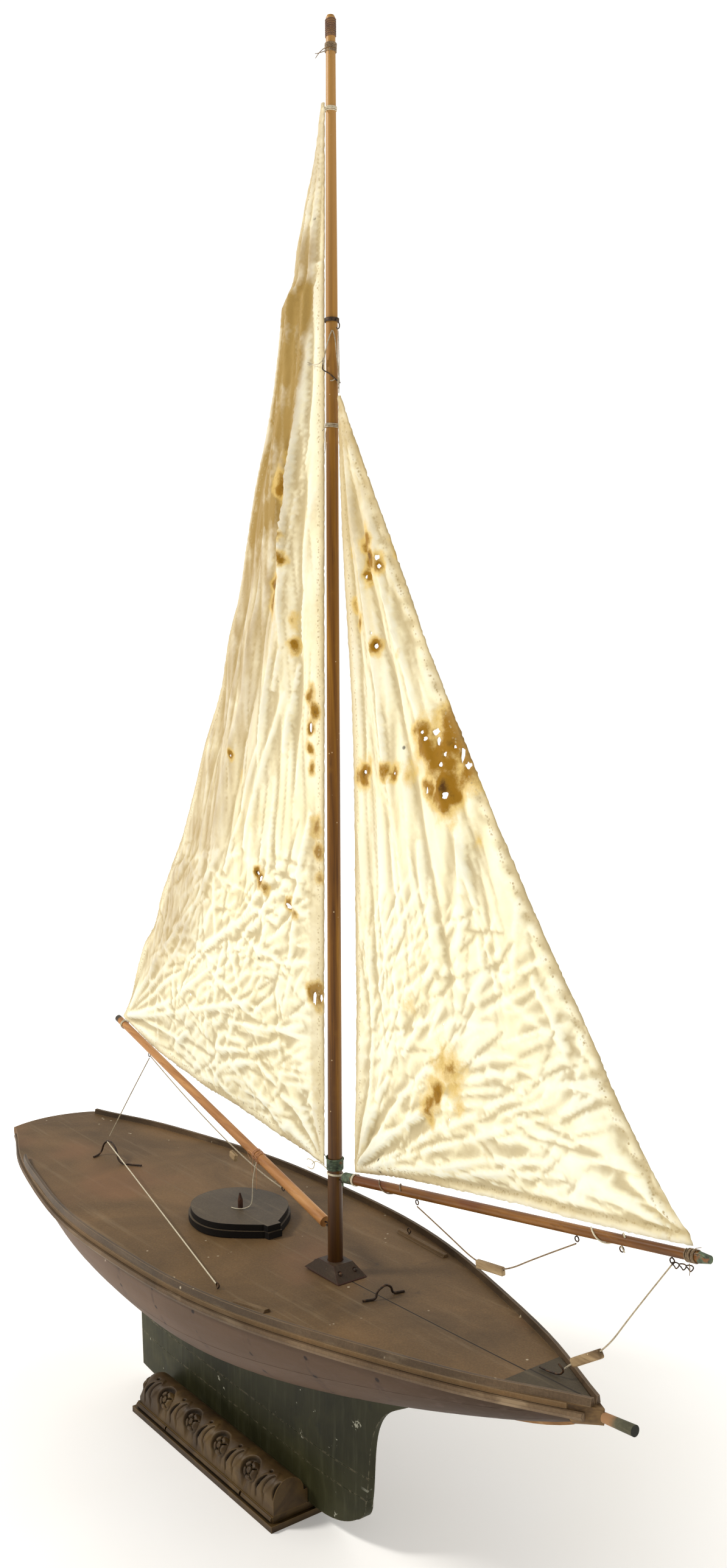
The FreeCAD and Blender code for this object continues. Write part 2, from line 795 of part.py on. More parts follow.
def hatch_string_points():
    """Hangs from the boom and lies curled on the hatch lid, in front of its peg."""
    return [
        under_boom(WRAP_ALONG, 1.0) - V(0, 2, 0),
        V(-173.5, 7.8, 50),
        V(-174.5, 8, 31),
        V(-177, 8.5, 15),
        V(-184, 2, 10.4),
        V(-190, -5.3, 10.4),
        V(-197, -6.8, 10.4),
    ]


def bowser(points, start, end, length, width, thick):
    """Wooden toggle threaded on a cord, centred between two places on the cord's route."""
    bar = box(-length / 2, length / 2, -thick / 2, thick / 2, -width / 2, width / 2)
    bar = bar.makeFillet(thick * 0.3, bar.Edges)
    bar.Placement = FreeCAD.Placement((start + end) * 0.5, FreeCAD.Rotation(V(1, 0, 0), end - start))
    return bar.cut(tube(points, CORD_R + 0.25))


# ---------------------------------------------------------------- stand
def stand_base():
    """Two-step board with a rounded bead along each long edge, in three lengths."""
    half_l, half_w = BASE_LENGTH / 2, BASE_WIDTH / 2
    floor, centre, inset = -DECK_Z, -MAST_X, 5.0
    top = floor + 2 * BASE_STEP - 0.2
    board = box(centre - half_l, centre + half_l, -half_w, half_w, floor, floor + BASE_STEP)
    board = board.fuse(box(centre - half_l + inset, centre + half_l - inset, -half_w + inset, half_w - inset,
                           floor + BASE_STEP - 1, top))
    for start, end in BEADS:
        for side in (-1, 1):
            y = side * (half_w - inset)
            board = board.fuse(rod(V(start, y, top - 3.4), V(end, y, top - 3.4), 2.8))
    return board


def roll_point(x, lift_angle, radius):
    """Point over the starboard roll at x, seen from its centre at an angle above level."""
    a = math.radians(lift_angle)
    centre_z = -DECK_Z + 2 * BASE_STEP + ROLL_LIFT
    return V(x, -ROLL_Y - radius * math.cos(a), centre_z + radius * math.sin(a))


def rosette(x):
    """Sunk ring and five petals: the solids to cut and to add."""
    angle = 33.0
    centre = roll_point(x, angle, ROLL_R)
    out = (centre - roll_point(x, angle, 0)).normalize()
    up = out.cross(V(1, 0, 0))
    sunk = Part.makeTorus(11.5, 2.4, centre, out)
    petals = [Part.makeSphere(3.6, centre - out * 1.2)]
    for k in range(5):
        a = math.radians(90 + 72 * k)
        petal = centre + V(5.6 * math.cos(a), 0, 0) + up * (5.6 * math.sin(a)) - out * 1.6
        petals.append(Part.makeSphere(3.4, petal))
    return sunk, petals


def leaf_cut(x):
    """A slanting gouge cut across the roll between two rosettes."""
    low, high = roll_point(x - 5, 4, ROLL_R + 1.0), roll_point(x + 5, 58, ROLL_R + 1.0)
    return rod(low, high, 2.2)


def moulding():
    """Starboard round moulding on its square foot, domed at the after end, with its carved rosettes."""
    start, end = -MAST_X - BASE_LENGTH / 2 + 5, -MAST_X + BASE_LENGTH / 2 - 5
    floor, diagonal = -DECK_Z + 2 * BASE_STEP, ROLL_R * math.sqrt(0.5)
    axis = floor + ROLL_LIFT
    dome = Part.Arc(V(start, -ROLL_Y, axis), V(start + ROLL_R - diagonal, -ROLL_Y, axis + diagonal),
                    V(start + ROLL_R, -ROLL_Y, axis + ROLL_R)).toShape()
    outline = Part.Wire([
        dome,
        Part.makeLine(V(start + ROLL_R, -ROLL_Y, axis + ROLL_R), V(end, -ROLL_Y, axis + ROLL_R)),
        Part.makeLine(V(end, -ROLL_Y, axis + ROLL_R), V(end, -ROLL_Y, axis)),
        Part.makeLine(V(end, -ROLL_Y, axis), V(start, -ROLL_Y, axis)),
    ])
    roll = Part.Face(outline).revolve(V(0, -ROLL_Y, axis), V(1, 0, 0), 360)
    body = roll.cut(box(start - 5, end + 5, -80, 0, floor - 40, floor))
    body = body.fuse(box(start + 0.5, end - 0.3, -ROLL_Y - ROLL_R + 0.3, -12.4, floor, axis))
    for k in range(ROSETTES):
        sunk, petals = rosette(ROSETTE_FIRST + ROSETTE_PITCH * k)
        body = body.cut(sunk)
        for petal in petals:
            body = body.fuse(petal)
    for k in range(ROSETTES + 1):
        body = body.cut(leaf_cut(ROSETTE_FIRST + ROSETTE_PITCH * (k - 0.5)))
    return body


# ---------------------------------------------------------------- everything, piece by piece
def build_stand():
    save("stand_base", stand_base())
    near = moulding()
    save("moulding_starboard", near)
    save("moulding_port", mirrored(near))


def build_hull():
    for name, low, high in STRAKES:
        plank = strake(low, high)
        save("starboard_" + name, plank)
        save("port_" + name, mirrored(plank))
    save("transom", transom())
    save("stem", stem())
    bolts = [rod(V(x, 0, -300), V(x, 0, 0), BOLT_R + 0.25) for x in BOLT_X]
    save("backbone", backbone().cut(group(bolts)))
    save("frames", frames())
    save("deck_beams", deck_beams())
    half, openings = deck_half(), deck_openings()
    save("deck_starboard", half.cut(openings))
    save("deck_port", mirrored(half).cut(openings))
    save("hatch_lining", hatch_lining())
    save("toe_rail_starboard", edge_strip(-560, FORE_END + 18, toe_rail_outline))
    save("toe_rail_port", mirrored(edge_strip(AFT_END, FORE_END + 18, toe_rail_outline)))
    rub = edge_strip(AFT_END, FORE_END + 14, rubbing_outline)
    save("rubbing_strake_starboard", rub)
    save("rubbing_strake_port", mirrored(rub))
    save("bow_cap", bow_cap())
    save("bowsprit_stub", bowsprit_stub())


def build_keel():
    body = fin()
    save("keel_upper_board", fin_part(body, BOARD_SEAM + 0.2, 0))
    save("keel_lower_board", fin_part(body, SHOE_TOP + 0.2, BOARD_SEAM - 0.2))
    save("lead_shoe", fin_part(body, KEEL_FOOT - 5, SHOE_TOP - 0.2))
    save("keel_bolts", keel_bolts())


def build_mast():
    save("mast", mast())
    save("mast_block", mast_block())
    save("mast_step", mast_step())
    save("mast_wire_band", mast_sleeve(108, 121, 1.4))
    wraps = [(1251, 1271, 0.9), (1237, 1248, 1.2), (1180, 1186, 1.0), (870, 876, 1.2)]
    save("mast_wraps", group([mast_sleeve(low, high, wall) for low, high, wall in wraps]))
    save("halyard_ring", halyard_ring())
    save("mast_eyes", mast_eyes())


def build_deck_fittings():
    save("deck_screws", group([screw_at(x, y, z) for x, y, z in block_screws()]))
    save("main_horse", main_horse())
    save("jib_horse", jib_horse())
    save("deck_pads", deck_pads())
    save("deck_eyes", deck_eyes())
    save("bow_hook", bow_hook())


def build_hatch():
    save("hatch_lid_lower", hatch_plate(0, LID_FOOT, 7.4))
    save("hatch_lid_upper", hatch_plate(-2.5, LID_FOOT + 7.6, 7.0))
    save("hatch_peg", hatch_peg())


def build_main_rig():
    save("boom", boom())
    save("boom_eyes", boom_eyes())
    save("mainsail", mainsail())
    line = boom_line_points()
    corner, reach = line[1], (line[2] - line[0]) * 0.01
    save("main_bowser", bowser(line, corner - reach, corner + reach, 14, 8, 5))
    save("boom_line", tube(line, CORD_R, "boom_line"))
    save("main_sheet", tube(MAIN_SHEET, CORD_R, "main_sheet"))
    save("hatch_string", tube(hatch_string_points(), STRING_R, "hatch_string"))


def build_jib_rig():
    save("jib_club", jib_club())
    save("club_ferrules", club_ferrules())
    save("club_eyes", club_eyes())
    save("jib_sail", jib_sail())
    save("jib_bowser", bowser(JIB_SHEET, JIB_SHEET[2], JIB_SHEET[3], 36, 8, 5))
    save("jib_sheet", tube(JIB_SHEET, CORD_R, "jib_sheet"))
    save("jib_halyard", tube(JIB_HALYARD, STRING_R, "jib_halyard"))


def build_deck_cords():
    save("sheet_tail", tube(SHEET_TAIL, CORD_R, "sheet_tail"))
    save("tack_line", tube(TACK_LINE, CORD_R, "tack_line"))
    save("tack_bowser", bowser(TACK_LINE, TACK_LINE[2], TACK_LINE[3], 39, 8, 6))


os.makedirs("parts", exist_ok=True)
build_stand()
build_hull()
build_keel()
build_mast()
build_deck_fittings()
build_hatch()
build_main_rig()
build_jib_rig()
build_deck_cords()
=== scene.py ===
"""A free-sailing pond yacht on its carved stand: paint, wood, wire, twine and old cotton."""
import json
import math

import bpy
import numpy as np
from mathutils import Matrix, Vector, geometry, noise


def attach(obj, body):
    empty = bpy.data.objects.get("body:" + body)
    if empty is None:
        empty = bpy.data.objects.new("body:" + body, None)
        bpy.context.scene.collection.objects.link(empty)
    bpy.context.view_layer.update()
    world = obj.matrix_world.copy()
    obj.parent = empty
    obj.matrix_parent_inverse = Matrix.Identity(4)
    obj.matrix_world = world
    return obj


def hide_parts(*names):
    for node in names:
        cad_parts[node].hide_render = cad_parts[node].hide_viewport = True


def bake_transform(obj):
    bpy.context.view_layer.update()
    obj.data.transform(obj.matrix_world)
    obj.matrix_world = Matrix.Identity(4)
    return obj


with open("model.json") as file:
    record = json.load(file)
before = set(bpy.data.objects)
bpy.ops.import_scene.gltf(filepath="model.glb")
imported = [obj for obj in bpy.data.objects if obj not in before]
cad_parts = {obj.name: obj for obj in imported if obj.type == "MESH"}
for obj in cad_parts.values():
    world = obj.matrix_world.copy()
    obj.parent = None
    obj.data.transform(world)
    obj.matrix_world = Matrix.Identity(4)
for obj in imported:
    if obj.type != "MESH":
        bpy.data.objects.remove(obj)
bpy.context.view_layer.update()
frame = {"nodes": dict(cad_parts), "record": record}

# ---------------------------------------------------------------- places, in mm from the mast's axis on deck
JOINTS = {j["name"]: j for j in frame["record"]["behaviour"]["joints"]}
GOOSENECK = (-12.0, 0.0, 45.0)
DATUM = Vector(JOINTS["boom_swing"]["pos_m"]) - Vector(GOOSENECK) / 1000
MAST_RAKE = math.radians(0.24)
BOOM_SWING = math.radians(3.8)
BOOM_RISE = math.radians(11.6)
BOOM_LENGTH, BOOM_R_FORE, BOOM_R_AFT = 560.0, 6.0, 4.7
CLUB_AFT, CLUB_FORE = Vector((34, 0, 106.3)), Vector((477, 0, 170.3))


def at(x, y, z):
    """Row-frame point, in metres."""
    return DATUM + Vector((x, y, z)) / 1000


def boom_point(reach, height):
    """Point in the boom's plane: reach aft of the gooseneck, height above the deck datum."""
    return Vector((GOOSENECK[0] - reach * math.cos(BOOM_SWING), reach * math.sin(BOOM_SWING), height))


def boom_axis(along):
    return boom_point(along * math.cos(BOOM_RISE), GOOSENECK[2] + along * math.sin(BOOM_RISE))


def club_at(x):
    share = (x - CLUB_AFT.x) / (CLUB_FORE.x - CLUB_AFT.x)
    return CLUB_AFT.lerp(CLUB_FORE, share)


def mast_axis(z):
    return Vector((z * math.tan(MAST_RAKE), 0, z))


def mast_radius(z):
    return float(np.interp(z, [0, 131, 781, 1010, 1240], [8.0, 7.5, 6.3, 5.9, 4.85]))


# ---------------------------------------------------------------- finishes
BLACK = (0, 0, 0)


def colour_of(source):
    """A socket as it is, or the linear colour of an 8-bit sRGB triple."""
    if isinstance(source, bpy.types.NodeSocket):
        return source
    shares = [v / 255 for v in source]
    return (*[c / 12.92 if c <= 0.04045 else ((c + 0.055) / 1.055) ** 2.4 for c in shares], 1.0)


class Finish:
    """One node material around a Principled shader. base is its colour so far."""

    def __init__(self, name, roughness=0.7, metallic=0.0, specular=0.5, sheen=0.0):
        self.material = bpy.data.materials.new(name)
        self.material.use_nodes = True
        self.tree = self.material.node_tree
        self.shader = self.tree.nodes["Principled BSDF"]
        for key, value in (("Roughness", roughness), ("Metallic", metallic), ("Specular IOR Level", specular),
                           ("Sheen Weight", sheen)):
            self.feed(self.shader.inputs[key], value)
        self.place = self.tree.nodes.new("ShaderNodeTexCoord").outputs["Object"]
        self.base = None

    def feed(self, socket, source):
        if isinstance(source, bpy.types.NodeSocket):
            self.tree.links.new(source, socket)
        else:
            socket.default_value = source

    def node(self, kind, inputs, **settings):
        made = self.tree.nodes.new(kind)
        for key, value in settings.items():
            setattr(made, key, value)
        for key, source in inputs.items():
            self.feed(made.inputs[key], source)
        return made

    def axis(self, name):
        """X, Y or Z of the place, in metres."""
        return self.node("ShaderNodeSeparateXYZ", {0: self.place}).outputs[name]

    def stretched(self, size, stretch=(1, 1, 1), turn=(0, 0, 0)):
        scale = [1 / (size * s) for s in stretch]
        inputs = {"Vector": self.place, "Scale": scale, "Rotation": turn}
        return self.node("ShaderNodeMapping", inputs).outputs[0]

    def noise(self, size, stretch=(1, 1, 1), detail=4.0, rough=0.6, distort=0.0, turn=(0, 0, 0)):
        """Cloudy value from 0 to 1, with patches about size metres across and longer where stretched."""
        inputs = {"Vector": self.stretched(size, stretch, turn), "Scale": 1.0, "Detail": detail}
        inputs.update({"Roughness": rough, "Distortion": distort})
        return self.node("ShaderNodeTexNoise", inputs).outputs["Fac"]

    def cells(self, size):
        """Distance from the nearest of scattered points, in cells."""
        inputs = {"Vector": self.stretched(size), "Scale": 1.0}
        return self.node("ShaderNodeTexVoronoi", inputs).outputs["Distance"]

    def step(self, value, low, high):
        """0 below low, 1 above high; the other way round if low is the larger."""
        inputs = {"Value": value, "From Min": min(low, high), "From Max": max(low, high)}
        inputs.update({"To Min": 0.0 if low < high else 1.0, "To Max": 1.0 if low < high else 0.0})
        return self.node("ShaderNodeMapRange", inputs, interpolation_type="SMOOTHSTEP").outputs[0]

    def math(self, operation, a, b=0.0):
        return self.node("ShaderNodeMath", {0: a, 1: b}, operation=operation).outputs[0]

    def times(self, a, b):
        return self.math("MULTIPLY", a, b)

    def plus(self, a, b):
        return self.math("ADD", a, b)

    def attribute(self, name):
        return self.node("ShaderNodeAttribute", {}, attribute_name=name).outputs["Fac"]

    def specks(self, size, amount):
        """Sparse small dots: 1 inside a dot."""
        near, pick = self.cells(size), self.noise(size * 3, detail=1.0)
        return self.times(self.step(near, 0.16, 0.08), self.step(pick, 1 - amount, 1.04 - amount))

    def edges(self, radius=0.002):
        """1 where the surface turns sharply, as along a worn edge."""
        bevel = self.node("ShaderNodeBevel", {"Radius": radius}, samples=4).outputs[0]
        normal = self.node("ShaderNodeNewGeometry", {}).outputs["Normal"]
        dot = self.node("ShaderNodeVectorMath", {0: bevel, 1: normal}, operation="DOT_PRODUCT")
        return self.step(dot.outputs["Value"], 0.97, 0.80)

    def recess_shade(self, distance):
        """1 in corners and recesses, where shade falls, 0 in the open; it masks painted shade."""
        made = self.node("ShaderNodeAmbientOcclusion", {"Distance": distance}, samples=6)
        return self.step(made.outputs["AO"], 0.85, 0.25)

    def ramp(self, value, *stops):
        """Start the base with colours along a value; each stop is (position, colour)."""
        made = self.node("ShaderNodeValToRGB", {"Fac": value})
        elements = made.color_ramp.elements
        elements[0].position, elements[-1].position = stops[0][0], stops[-1][0]
        for position, _ in stops[1:-1]:
            elements.new(position)
        for element, (_, colour) in zip(elements, stops):
            element.color = colour_of(colour)
        self.base = made.outputs["Color"]

    def mix(self, share, a, b):
        inputs = {0: share, 6: colour_of(a), 7: colour_of(b)}
        return self.node("ShaderNodeMix", inputs, data_type="RGBA").outputs[2]

    def tint(self, share, colour, strength=None):
        """Lay a colour over the base where share is 1; a strength below 1 lets the base show through."""
        over = colour if strength is None else self.mix(strength, self.base, colour)
        self.base = self.mix(share, self.base, over)

    def patches(self, value, low, high, colour, strength=None):
        """Tint where a value is past the step from low to high."""
        self.tint(self.step(value, low, high), colour, strength)

    def bump(self, height, distance, strength=1.0):
        last = self.shader.inputs["Normal"]
        made = self.node("ShaderNodeBump", {"Height": height, "Distance": distance, "Strength": strength})
        if last.is_linked:
            self.tree.links.new(last.links[0].from_socket, made.inputs["Normal"])
        self.feed(last, made.outputs[0])

    def done(self):
        self.feed(self.shader.inputs["Base Color"], self.base)
        return self.material

    def done_with_edges(self, radius, colour, strength=None):
        self.tint(self.edges(radius), colour, strength)
        return self.done()


def dusty_paint(name, dark, mid, light, roughness=0.68):
    """Old brushed paint: clouds of wear, fine grit, pale specks and dark scuffs."""
    f = Finish(name, roughness, specular=0.22)
    f.ramp(f.noise(0.16, distort=0.6), (0.30, dark), (0.50, mid), (0.72, light))
    grit = f.noise(0.0022, detail=6.0, rough=0.75)
    f.patches(grit, 0.75, 0.35, BLACK, 0.30)
    streak = f.noise(0.012, (14, 1, 1), detail=5.0)
    f.patches(streak, 0.52, 0.80, (170, 150, 120), 0.18)
    f.patches(f.noise(0.03, detail=6.0, rough=0.7), 0.62, 0.74, (52, 40, 28), 0.45)
    f.tint(f.specks(0.011, 0.36), (176, 162, 136))
    f.bump(grit, 0.0004, 0.5)
    f.bump(streak, 0.0006, 0.4)
    return f


def centre_seam(f, start):
    """A dark open joint along the centreline, from start metres forward of the mast."""
    off = f.math("ABSOLUTE", f.plus(f.axis("Y"), f.times(f.noise(0.03), 0.0008)))
    ahead = f.step(f.axis("X"), DATUM.x + start - 0.003, DATUM.x + start)
    f.tint(f.times(f.step(off, 0.0013, 0.0004), ahead), (38, 30, 20))
    return f.done()


def deck_paint():
    f = dusty_paint("deck_paint", (86, 66, 41), (109, 84, 53), (130, 99, 63))
    f.patches(f.noise(0.22, detail=2.0), 0.52, 0.66, (128, 88, 60), 0.35)
    f.tint(f.edges(), (120, 100, 74))
    return centre_seam(f, 0.03)


def sprit_wood():
    """Bare orange wood next to the stem, grey-green paint, a dark worn end."""
    f = dusty_paint("sprit_wood", (62, 62, 46), (88, 86, 66), (112, 106, 84))
    along = f.plus(f.axis("X"), f.times(f.noise(0.008), 0.012))
    f.patches(along, DATUM.x + 0.402, DATUM.x + 0.393, (150, 112, 76))
    f.patches(f.axis("X"), DATUM.x + 0.4125, DATUM.x + 0.4133, (34, 34, 28))
    return f.done()


def hull_paint():
    """Faded mauve on planks, dirtier under the rubbing strake, with nail stains in rows; painted shade darkens
    it toward the bow and low down.
    """
    f = Finish("hull_paint", 0.55, specular=0.15)
    f.ramp(f.noise(0.14, (3, 1, 1)), (0.3, (84, 64, 48)), (0.5, (104, 80, 62)), (0.7, (128, 102, 82)))
    height, deck = f.axis("Z"), DATUM.z
    f.patches(height, deck - 0.10, deck - 0.03, (88, 72, 58), 0.45)
    # Painted shade: darker toward the bow, standing in for light that falls from astern.
    f.patches(f.axis("X"), DATUM.x - 0.30, DATUM.x + 0.34, (58, 42, 30), 0.5)
    # Painted shade under the turn of the bilge: the lower side darkens, reaching higher toward the bow.
    bow = f.times(f.step(f.axis("X"), DATUM.x + 0.05, DATUM.x + 0.34), 0.10)
    f.patches(f.math("SUBTRACT", height, bow), deck - 0.055, deck - 0.125, (46, 32, 20), 0.72)
    streak = f.noise(0.006, (40, 1, 1), detail=5.0)
    f.patches(streak, 0.50, 0.72, (92, 74, 64), 0.35)
    grime = f.noise(0.035, detail=7.0, rough=0.72)
    f.patches(grime, 0.60, 0.72, (76, 60, 50), 0.5)
    wander = f.times(f.noise(0.05, detail=1.0), 0.012)
    along = f.math("PINGPONG", f.plus(f.axis("X"), wander), 0.0375)
    blot = f.step(f.noise(0.018, (1, 1, 1.6)), 0.50, 0.62)
    stain = f.times(f.step(along, 0.0060, 0.0020), blot)
    f.tint(stain, (64, 48, 40), 0.55)
    up = f.math("PINGPONG", f.plus(height, wander), 0.011)
    spot = f.math("SQRT", f.plus(f.math("POWER", along, 2.0), f.math("POWER", up, 2.0)))
    nail = f.times(f.step(spot, 0.0030, 0.0014), f.step(f.noise(0.02, detail=1.0), 0.42, 0.50))
    f.tint(nail, (44, 34, 30))
    f.tint(f.specks(0.014, 0.34), (196, 176, 158))
    f.bump(streak, 0.0005, 0.5)
    f.bump(grime, 0.0005, 0.3)
    f.bump(nail, 0.0004, -0.6)
    return f.done()


def keel_paint():
    """Dark green, rubbed lighter in clouds, with pale scratches and chips."""
    f = Finish("keel_paint", 0.55, specular=0.18)
    f.ramp(f.noise(0.09, distort=0.8), (0.3, (34, 34, 17)), (0.52, (48, 47, 25)), (0.75, (66, 64, 38)))
    brush = f.noise(0.008, (1, 1, 9), detail=5.0)
    f.patches(brush, 0.50, 0.75, (92, 92, 70), 0.25)
    slant = f.noise(0.011, (9, 1, 1), detail=2.0, turn=(0, math.radians(38), 0))
    scratch = f.times(f.step(slant, 0.68, 0.71), f.step(f.noise(0.07, detail=2.0), 0.55, 0.62))
    f.tint(scratch, (150, 150, 134))
    chip = f.step(f.noise(0.024, detail=5.0, rough=0.7), 0.675, 0.69)
    f.tint(chip, (160, 158, 140))
    f.patches(f.noise(0.03, detail=6.0), 0.62, 0.72, (30, 32, 22), 0.5)
    rubbed = f.step(f.noise(0.006, detail=6.0, rough=0.7), 0.45, 0.60)
    f.tint(f.times(f.edges(), rubbed), (120, 112, 90))
    f.bump(brush, 0.0006, 0.5)
    f.bump(chip, 0.0005, -0.8)
    return f.done()


def grained_wood(name, dark, mid, light, along, roughness=0.45):
    """Straight-grained wood with fine pores; along is the grain's direction as a stretch."""
    f = Finish(name, roughness, specular=0.25)
    fine = f.noise(0.0016, along, detail=5.0, rough=0.7)
    f.ramp(f.noise(0.010, along, detail=3.0, distort=0.4), (0.32, dark), (0.50, mid), (0.70, light))
    f.patches(fine, 0.54, 0.70, dark, 0.55)
    f.patches(f.noise(0.05), 0.55, 0.72, light, 0.35)
    f.bump(fine, 0.0003, 0.5)
    return f


def worn(f, colour):
    """Small pale knocks, as on handled wood."""
    f.tint(f.specks(0.006, 0.42), colour)


def mast_wood():
    """Orange low down and paler aloft, with a dark foot."""
    z = DATUM.z
    f = grained_wood("mast_wood", (62, 32, 2), (112, 70, 8), (148, 102, 22), (1, 1, 28), 0.42)
    f.patches(f.axis("Z"), z + 0.75, z + 1.20, (186, 140, 78), 0.75)
    worn(f, (178, 150, 110))
    f.patches(f.axis("Z"), z + 0.25, z + 0.02, (44, 22, 8), 0.75)
    return f.done()


def boom_wood():
    f = grained_wood("boom_wood", (128, 80, 38), (168, 116, 64), (196, 146, 90), (26, 1.5, 3), 0.5)
    f.patches(f.axis("X"), at(boom_axis(556).x, 0, 0).x, at(boom_axis(560).x, 0, 0).x, (62, 54, 44))
    return f.done()


def club_wood():
    f = grained_wood("club_wood", (66, 36, 10), (112, 70, 24), (160, 110, 48), (24, 1.5, 3), 0.34)
    f.patches(f.noise(0.045, (2.2, 1, 1), detail=3.0), 0.50, 0.62, (90, 42, 20), 0.55)
    return f.done()


def bare_wood(name, dark, mid, light):
    f = grained_wood(name, dark, mid, light, (8, 1, 1), 0.7)
    worn(f, (190, 170, 130))
    return f.done_with_edges(0.0012, light, 0.5)


def strake_wood():
    f = dusty_paint("strake_wood", (78, 62, 44), (106, 84, 60), (136, 112, 84), 0.6)
    f.patches(f.noise(0.05, (3, 1, 1), detail=5.0), 0.56, 0.66, (142, 120, 92))
    return f.done_with_edges(0.0015, (60, 46, 34))


def rail_wood():
    f = dusty_paint("rail_wood", (60, 48, 34), (84, 66, 46), (110, 88, 64), 0.55)
    return f.done_with_edges(0.0012, (128, 106, 78))


def stand_wood():
    """Worn gilding and varnish, dark in the carving as painted shade."""
    f = Finish("stand_wood", 0.5, specular=0.25)
    f.ramp(f.noise(0.05, distort=0.7), (0.3, (44, 30, 13)), (0.5, (68, 50, 24)), (0.72, (98, 76, 40)))
    grain = f.noise(0.004, (12, 1, 1), detail=6.0, rough=0.7)
    f.patches(grain, 0.48, 0.70, (70, 46, 26), 0.35)
    # Painted shade: near black in the carving's occluded recesses.
    f.tint(f.recess_shade(0.010), (12, 7, 3))
    f.tint(f.edges(0.0015), (112, 88, 50))
    chip = f.step(f.noise(0.010), 0.70, 0.73)
    f.tint(chip, (58, 40, 24))
    f.bump(grain, 0.0004, 0.5)
    f.bump(chip, 0.0005, -0.6)
    return f.done()


def hatch_paint():
    """Dusty on top, near black on the sides."""
    f = dusty_paint("hatch_paint", (62, 54, 42), (82, 70, 54), (96, 83, 64), 0.6)
    normal = f.node("ShaderNodeNewGeometry", {}).outputs["Normal"]
    f.patches(f.node("ShaderNodeSeparateXYZ", {0: normal}).outputs["Z"], 0.7, 0.3, (20, 17, 15))
    return f.done_with_edges(0.0012, (34, 29, 25))


def block_paint():
    f = dusty_paint("block_paint", (52, 38, 26), (70, 54, 38), (88, 68, 48), 0.55)
    f.patches(f.noise(0.03, detail=3.0), 0.55, 0.65, (78, 34, 22))
    return f.done_with_edges(0.002, (64, 30, 22))


def rusty_wire():
    f = Finish("rusty_wire", 0.62, 0.55)
    f.ramp(f.noise(0.004, detail=5.0), (0.3, (36, 28, 22)), (0.52, (62, 48, 36)), (0.72, (112, 78, 48)))
    f.bump(f.noise(0.0010, detail=3.0), 0.0003, 0.6)
    return f.done()


def verdigris():
    f = Finish("verdigris", 0.6, 0.35)
    f.ramp(f.noise(0.005, detail=5.0), (0.3, (44, 48, 36)), (0.5, (76, 88, 68)), (0.7, (106, 122, 92)))
    f.patches(f.noise(0.008, detail=2.0), 0.6, 0.68, (124, 84, 50))
    f.bump(f.noise(0.0012), 0.0003, 0.6)
    return f.done()


def twine_finish(name, dark, light):
    f = Finish(name, 0.9, specular=0.2, sheen=0.3)
    f.ramp(f.noise(0.003, detail=5.0, rough=0.7), (0.3, dark), (0.7, light))
    f.patches(f.noise(0.02, detail=3.0), 0.55, 0.7, dark, 0.35)
    f.bump(f.noise(0.0005, detail=3.0), 0.0002, 0.7)
    return f.done()


def inner_wood():
    return grained_wood("inner_wood", (120, 84, 50), (158, 118, 76), (184, 146, 100), (10, 1, 1), 0.75).done()


PALE_TWINE = twine_finish("pale_twine", (176, 164, 136), (226, 216, 190))
GREY_TWINE = twine_finish("grey_twine", (126, 112, 90), (184, 170, 142))
BROWN_TWINE = twine_finish("brown_twine", (84, 66, 46), (150, 126, 94))
TAN_TWINE = twine_finish("tan_twine", (162, 110, 72), (204, 152, 110))
TAPE = twine_finish("tape", (62, 46, 36), (128, 92, 72))
WIRE, GREEN_WIRE = rusty_wire(), verdigris()
STAND, KEEL, RAIL = stand_wood(), keel_paint(), rail_wood()
SLOT_FINISHES = {
    "stand_wood": STAND,
    "hull_paint": hull_paint(),
    "inner_wood": inner_wood(),
    "deck_paint": deck_paint(),
    "strake_wood": strake_wood(),
    "keel_paint": KEEL,
    "lead": KEEL,
    "bowser_wood": bare_wood("bowser_wood", (88, 68, 44), (134, 110, 78), (172, 148, 110)),
    "hatch_wood": hatch_paint(),
    "wire": WIRE,
    "verdigris": GREEN_WIRE,
    "string": PALE_TWINE,
}
NODE_FINISHES = {
    "mast": mast_wood(),
    "boom": boom_wood(),
    "jib_club": club_wood(),
    "mast_block": block_paint(),
    "toe_rail_starboard": RAIL,
    "toe_rail_port": RAIL,
    "bowsprit_stub": sprit_wood(),
    "stem": bare_wood("stem_wood", (66, 48, 28), (98, 74, 44), (132, 104, 66)),
    "bow_cap": centre_seam(dusty_paint("cap_paint", (50, 42, 30), (68, 58, 42), (90, 78, 56)), 0.0),
    "hatch_peg": bare_wood("peg_wood", (30, 20, 14), (58, 34, 22), (96, 62, 40)),
}


def finish_cad_nodes():
    slots = {p["node"]: p["material_slot"] for p in frame["record"]["subparts"]}
    for name, node in frame["nodes"].items():
        material = NODE_FINISHES.get(name) or SLOT_FINISHES.get(slots[name])
        if material:
            for slot in node.material_slots:
                slot.material = material


# ---------------------------------------------------------------- mesh work
def add_object(name, data, material):
    made = bpy.data.objects.new(name, data)
    bpy.context.scene.collection.objects.link(made)
    if not data.materials:
        data.materials.append(material)
    return made


def add_mesh(name, points, faces, material, body, slot):
    """A smooth-shaded mesh in the row frame that rides on a body; body None leaves it free."""
    data = bpy.data.meshes.new(name)
    data.from_pydata([tuple(p) for p in points], [], faces)
    data.update()
    data.shade_smooth()
    made = add_object(name, data, material)
    if body:
        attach(made, body)
    return made


def evenly(points, spacing):
    """The same line with points a given distance apart."""
    line = np.array([tuple(p) for p in points])
    gaps = np.linalg.norm(np.diff(line, axis=0), axis=1)
    reach = np.concatenate([[0], np.cumsum(gaps)])
    stops = np.linspace(0, reach[-1], max(2, int(round(reach[-1] / spacing)) + 1))
    return np.stack([np.interp(stops, reach, line[:, k]) for k in range(3)], axis=1)


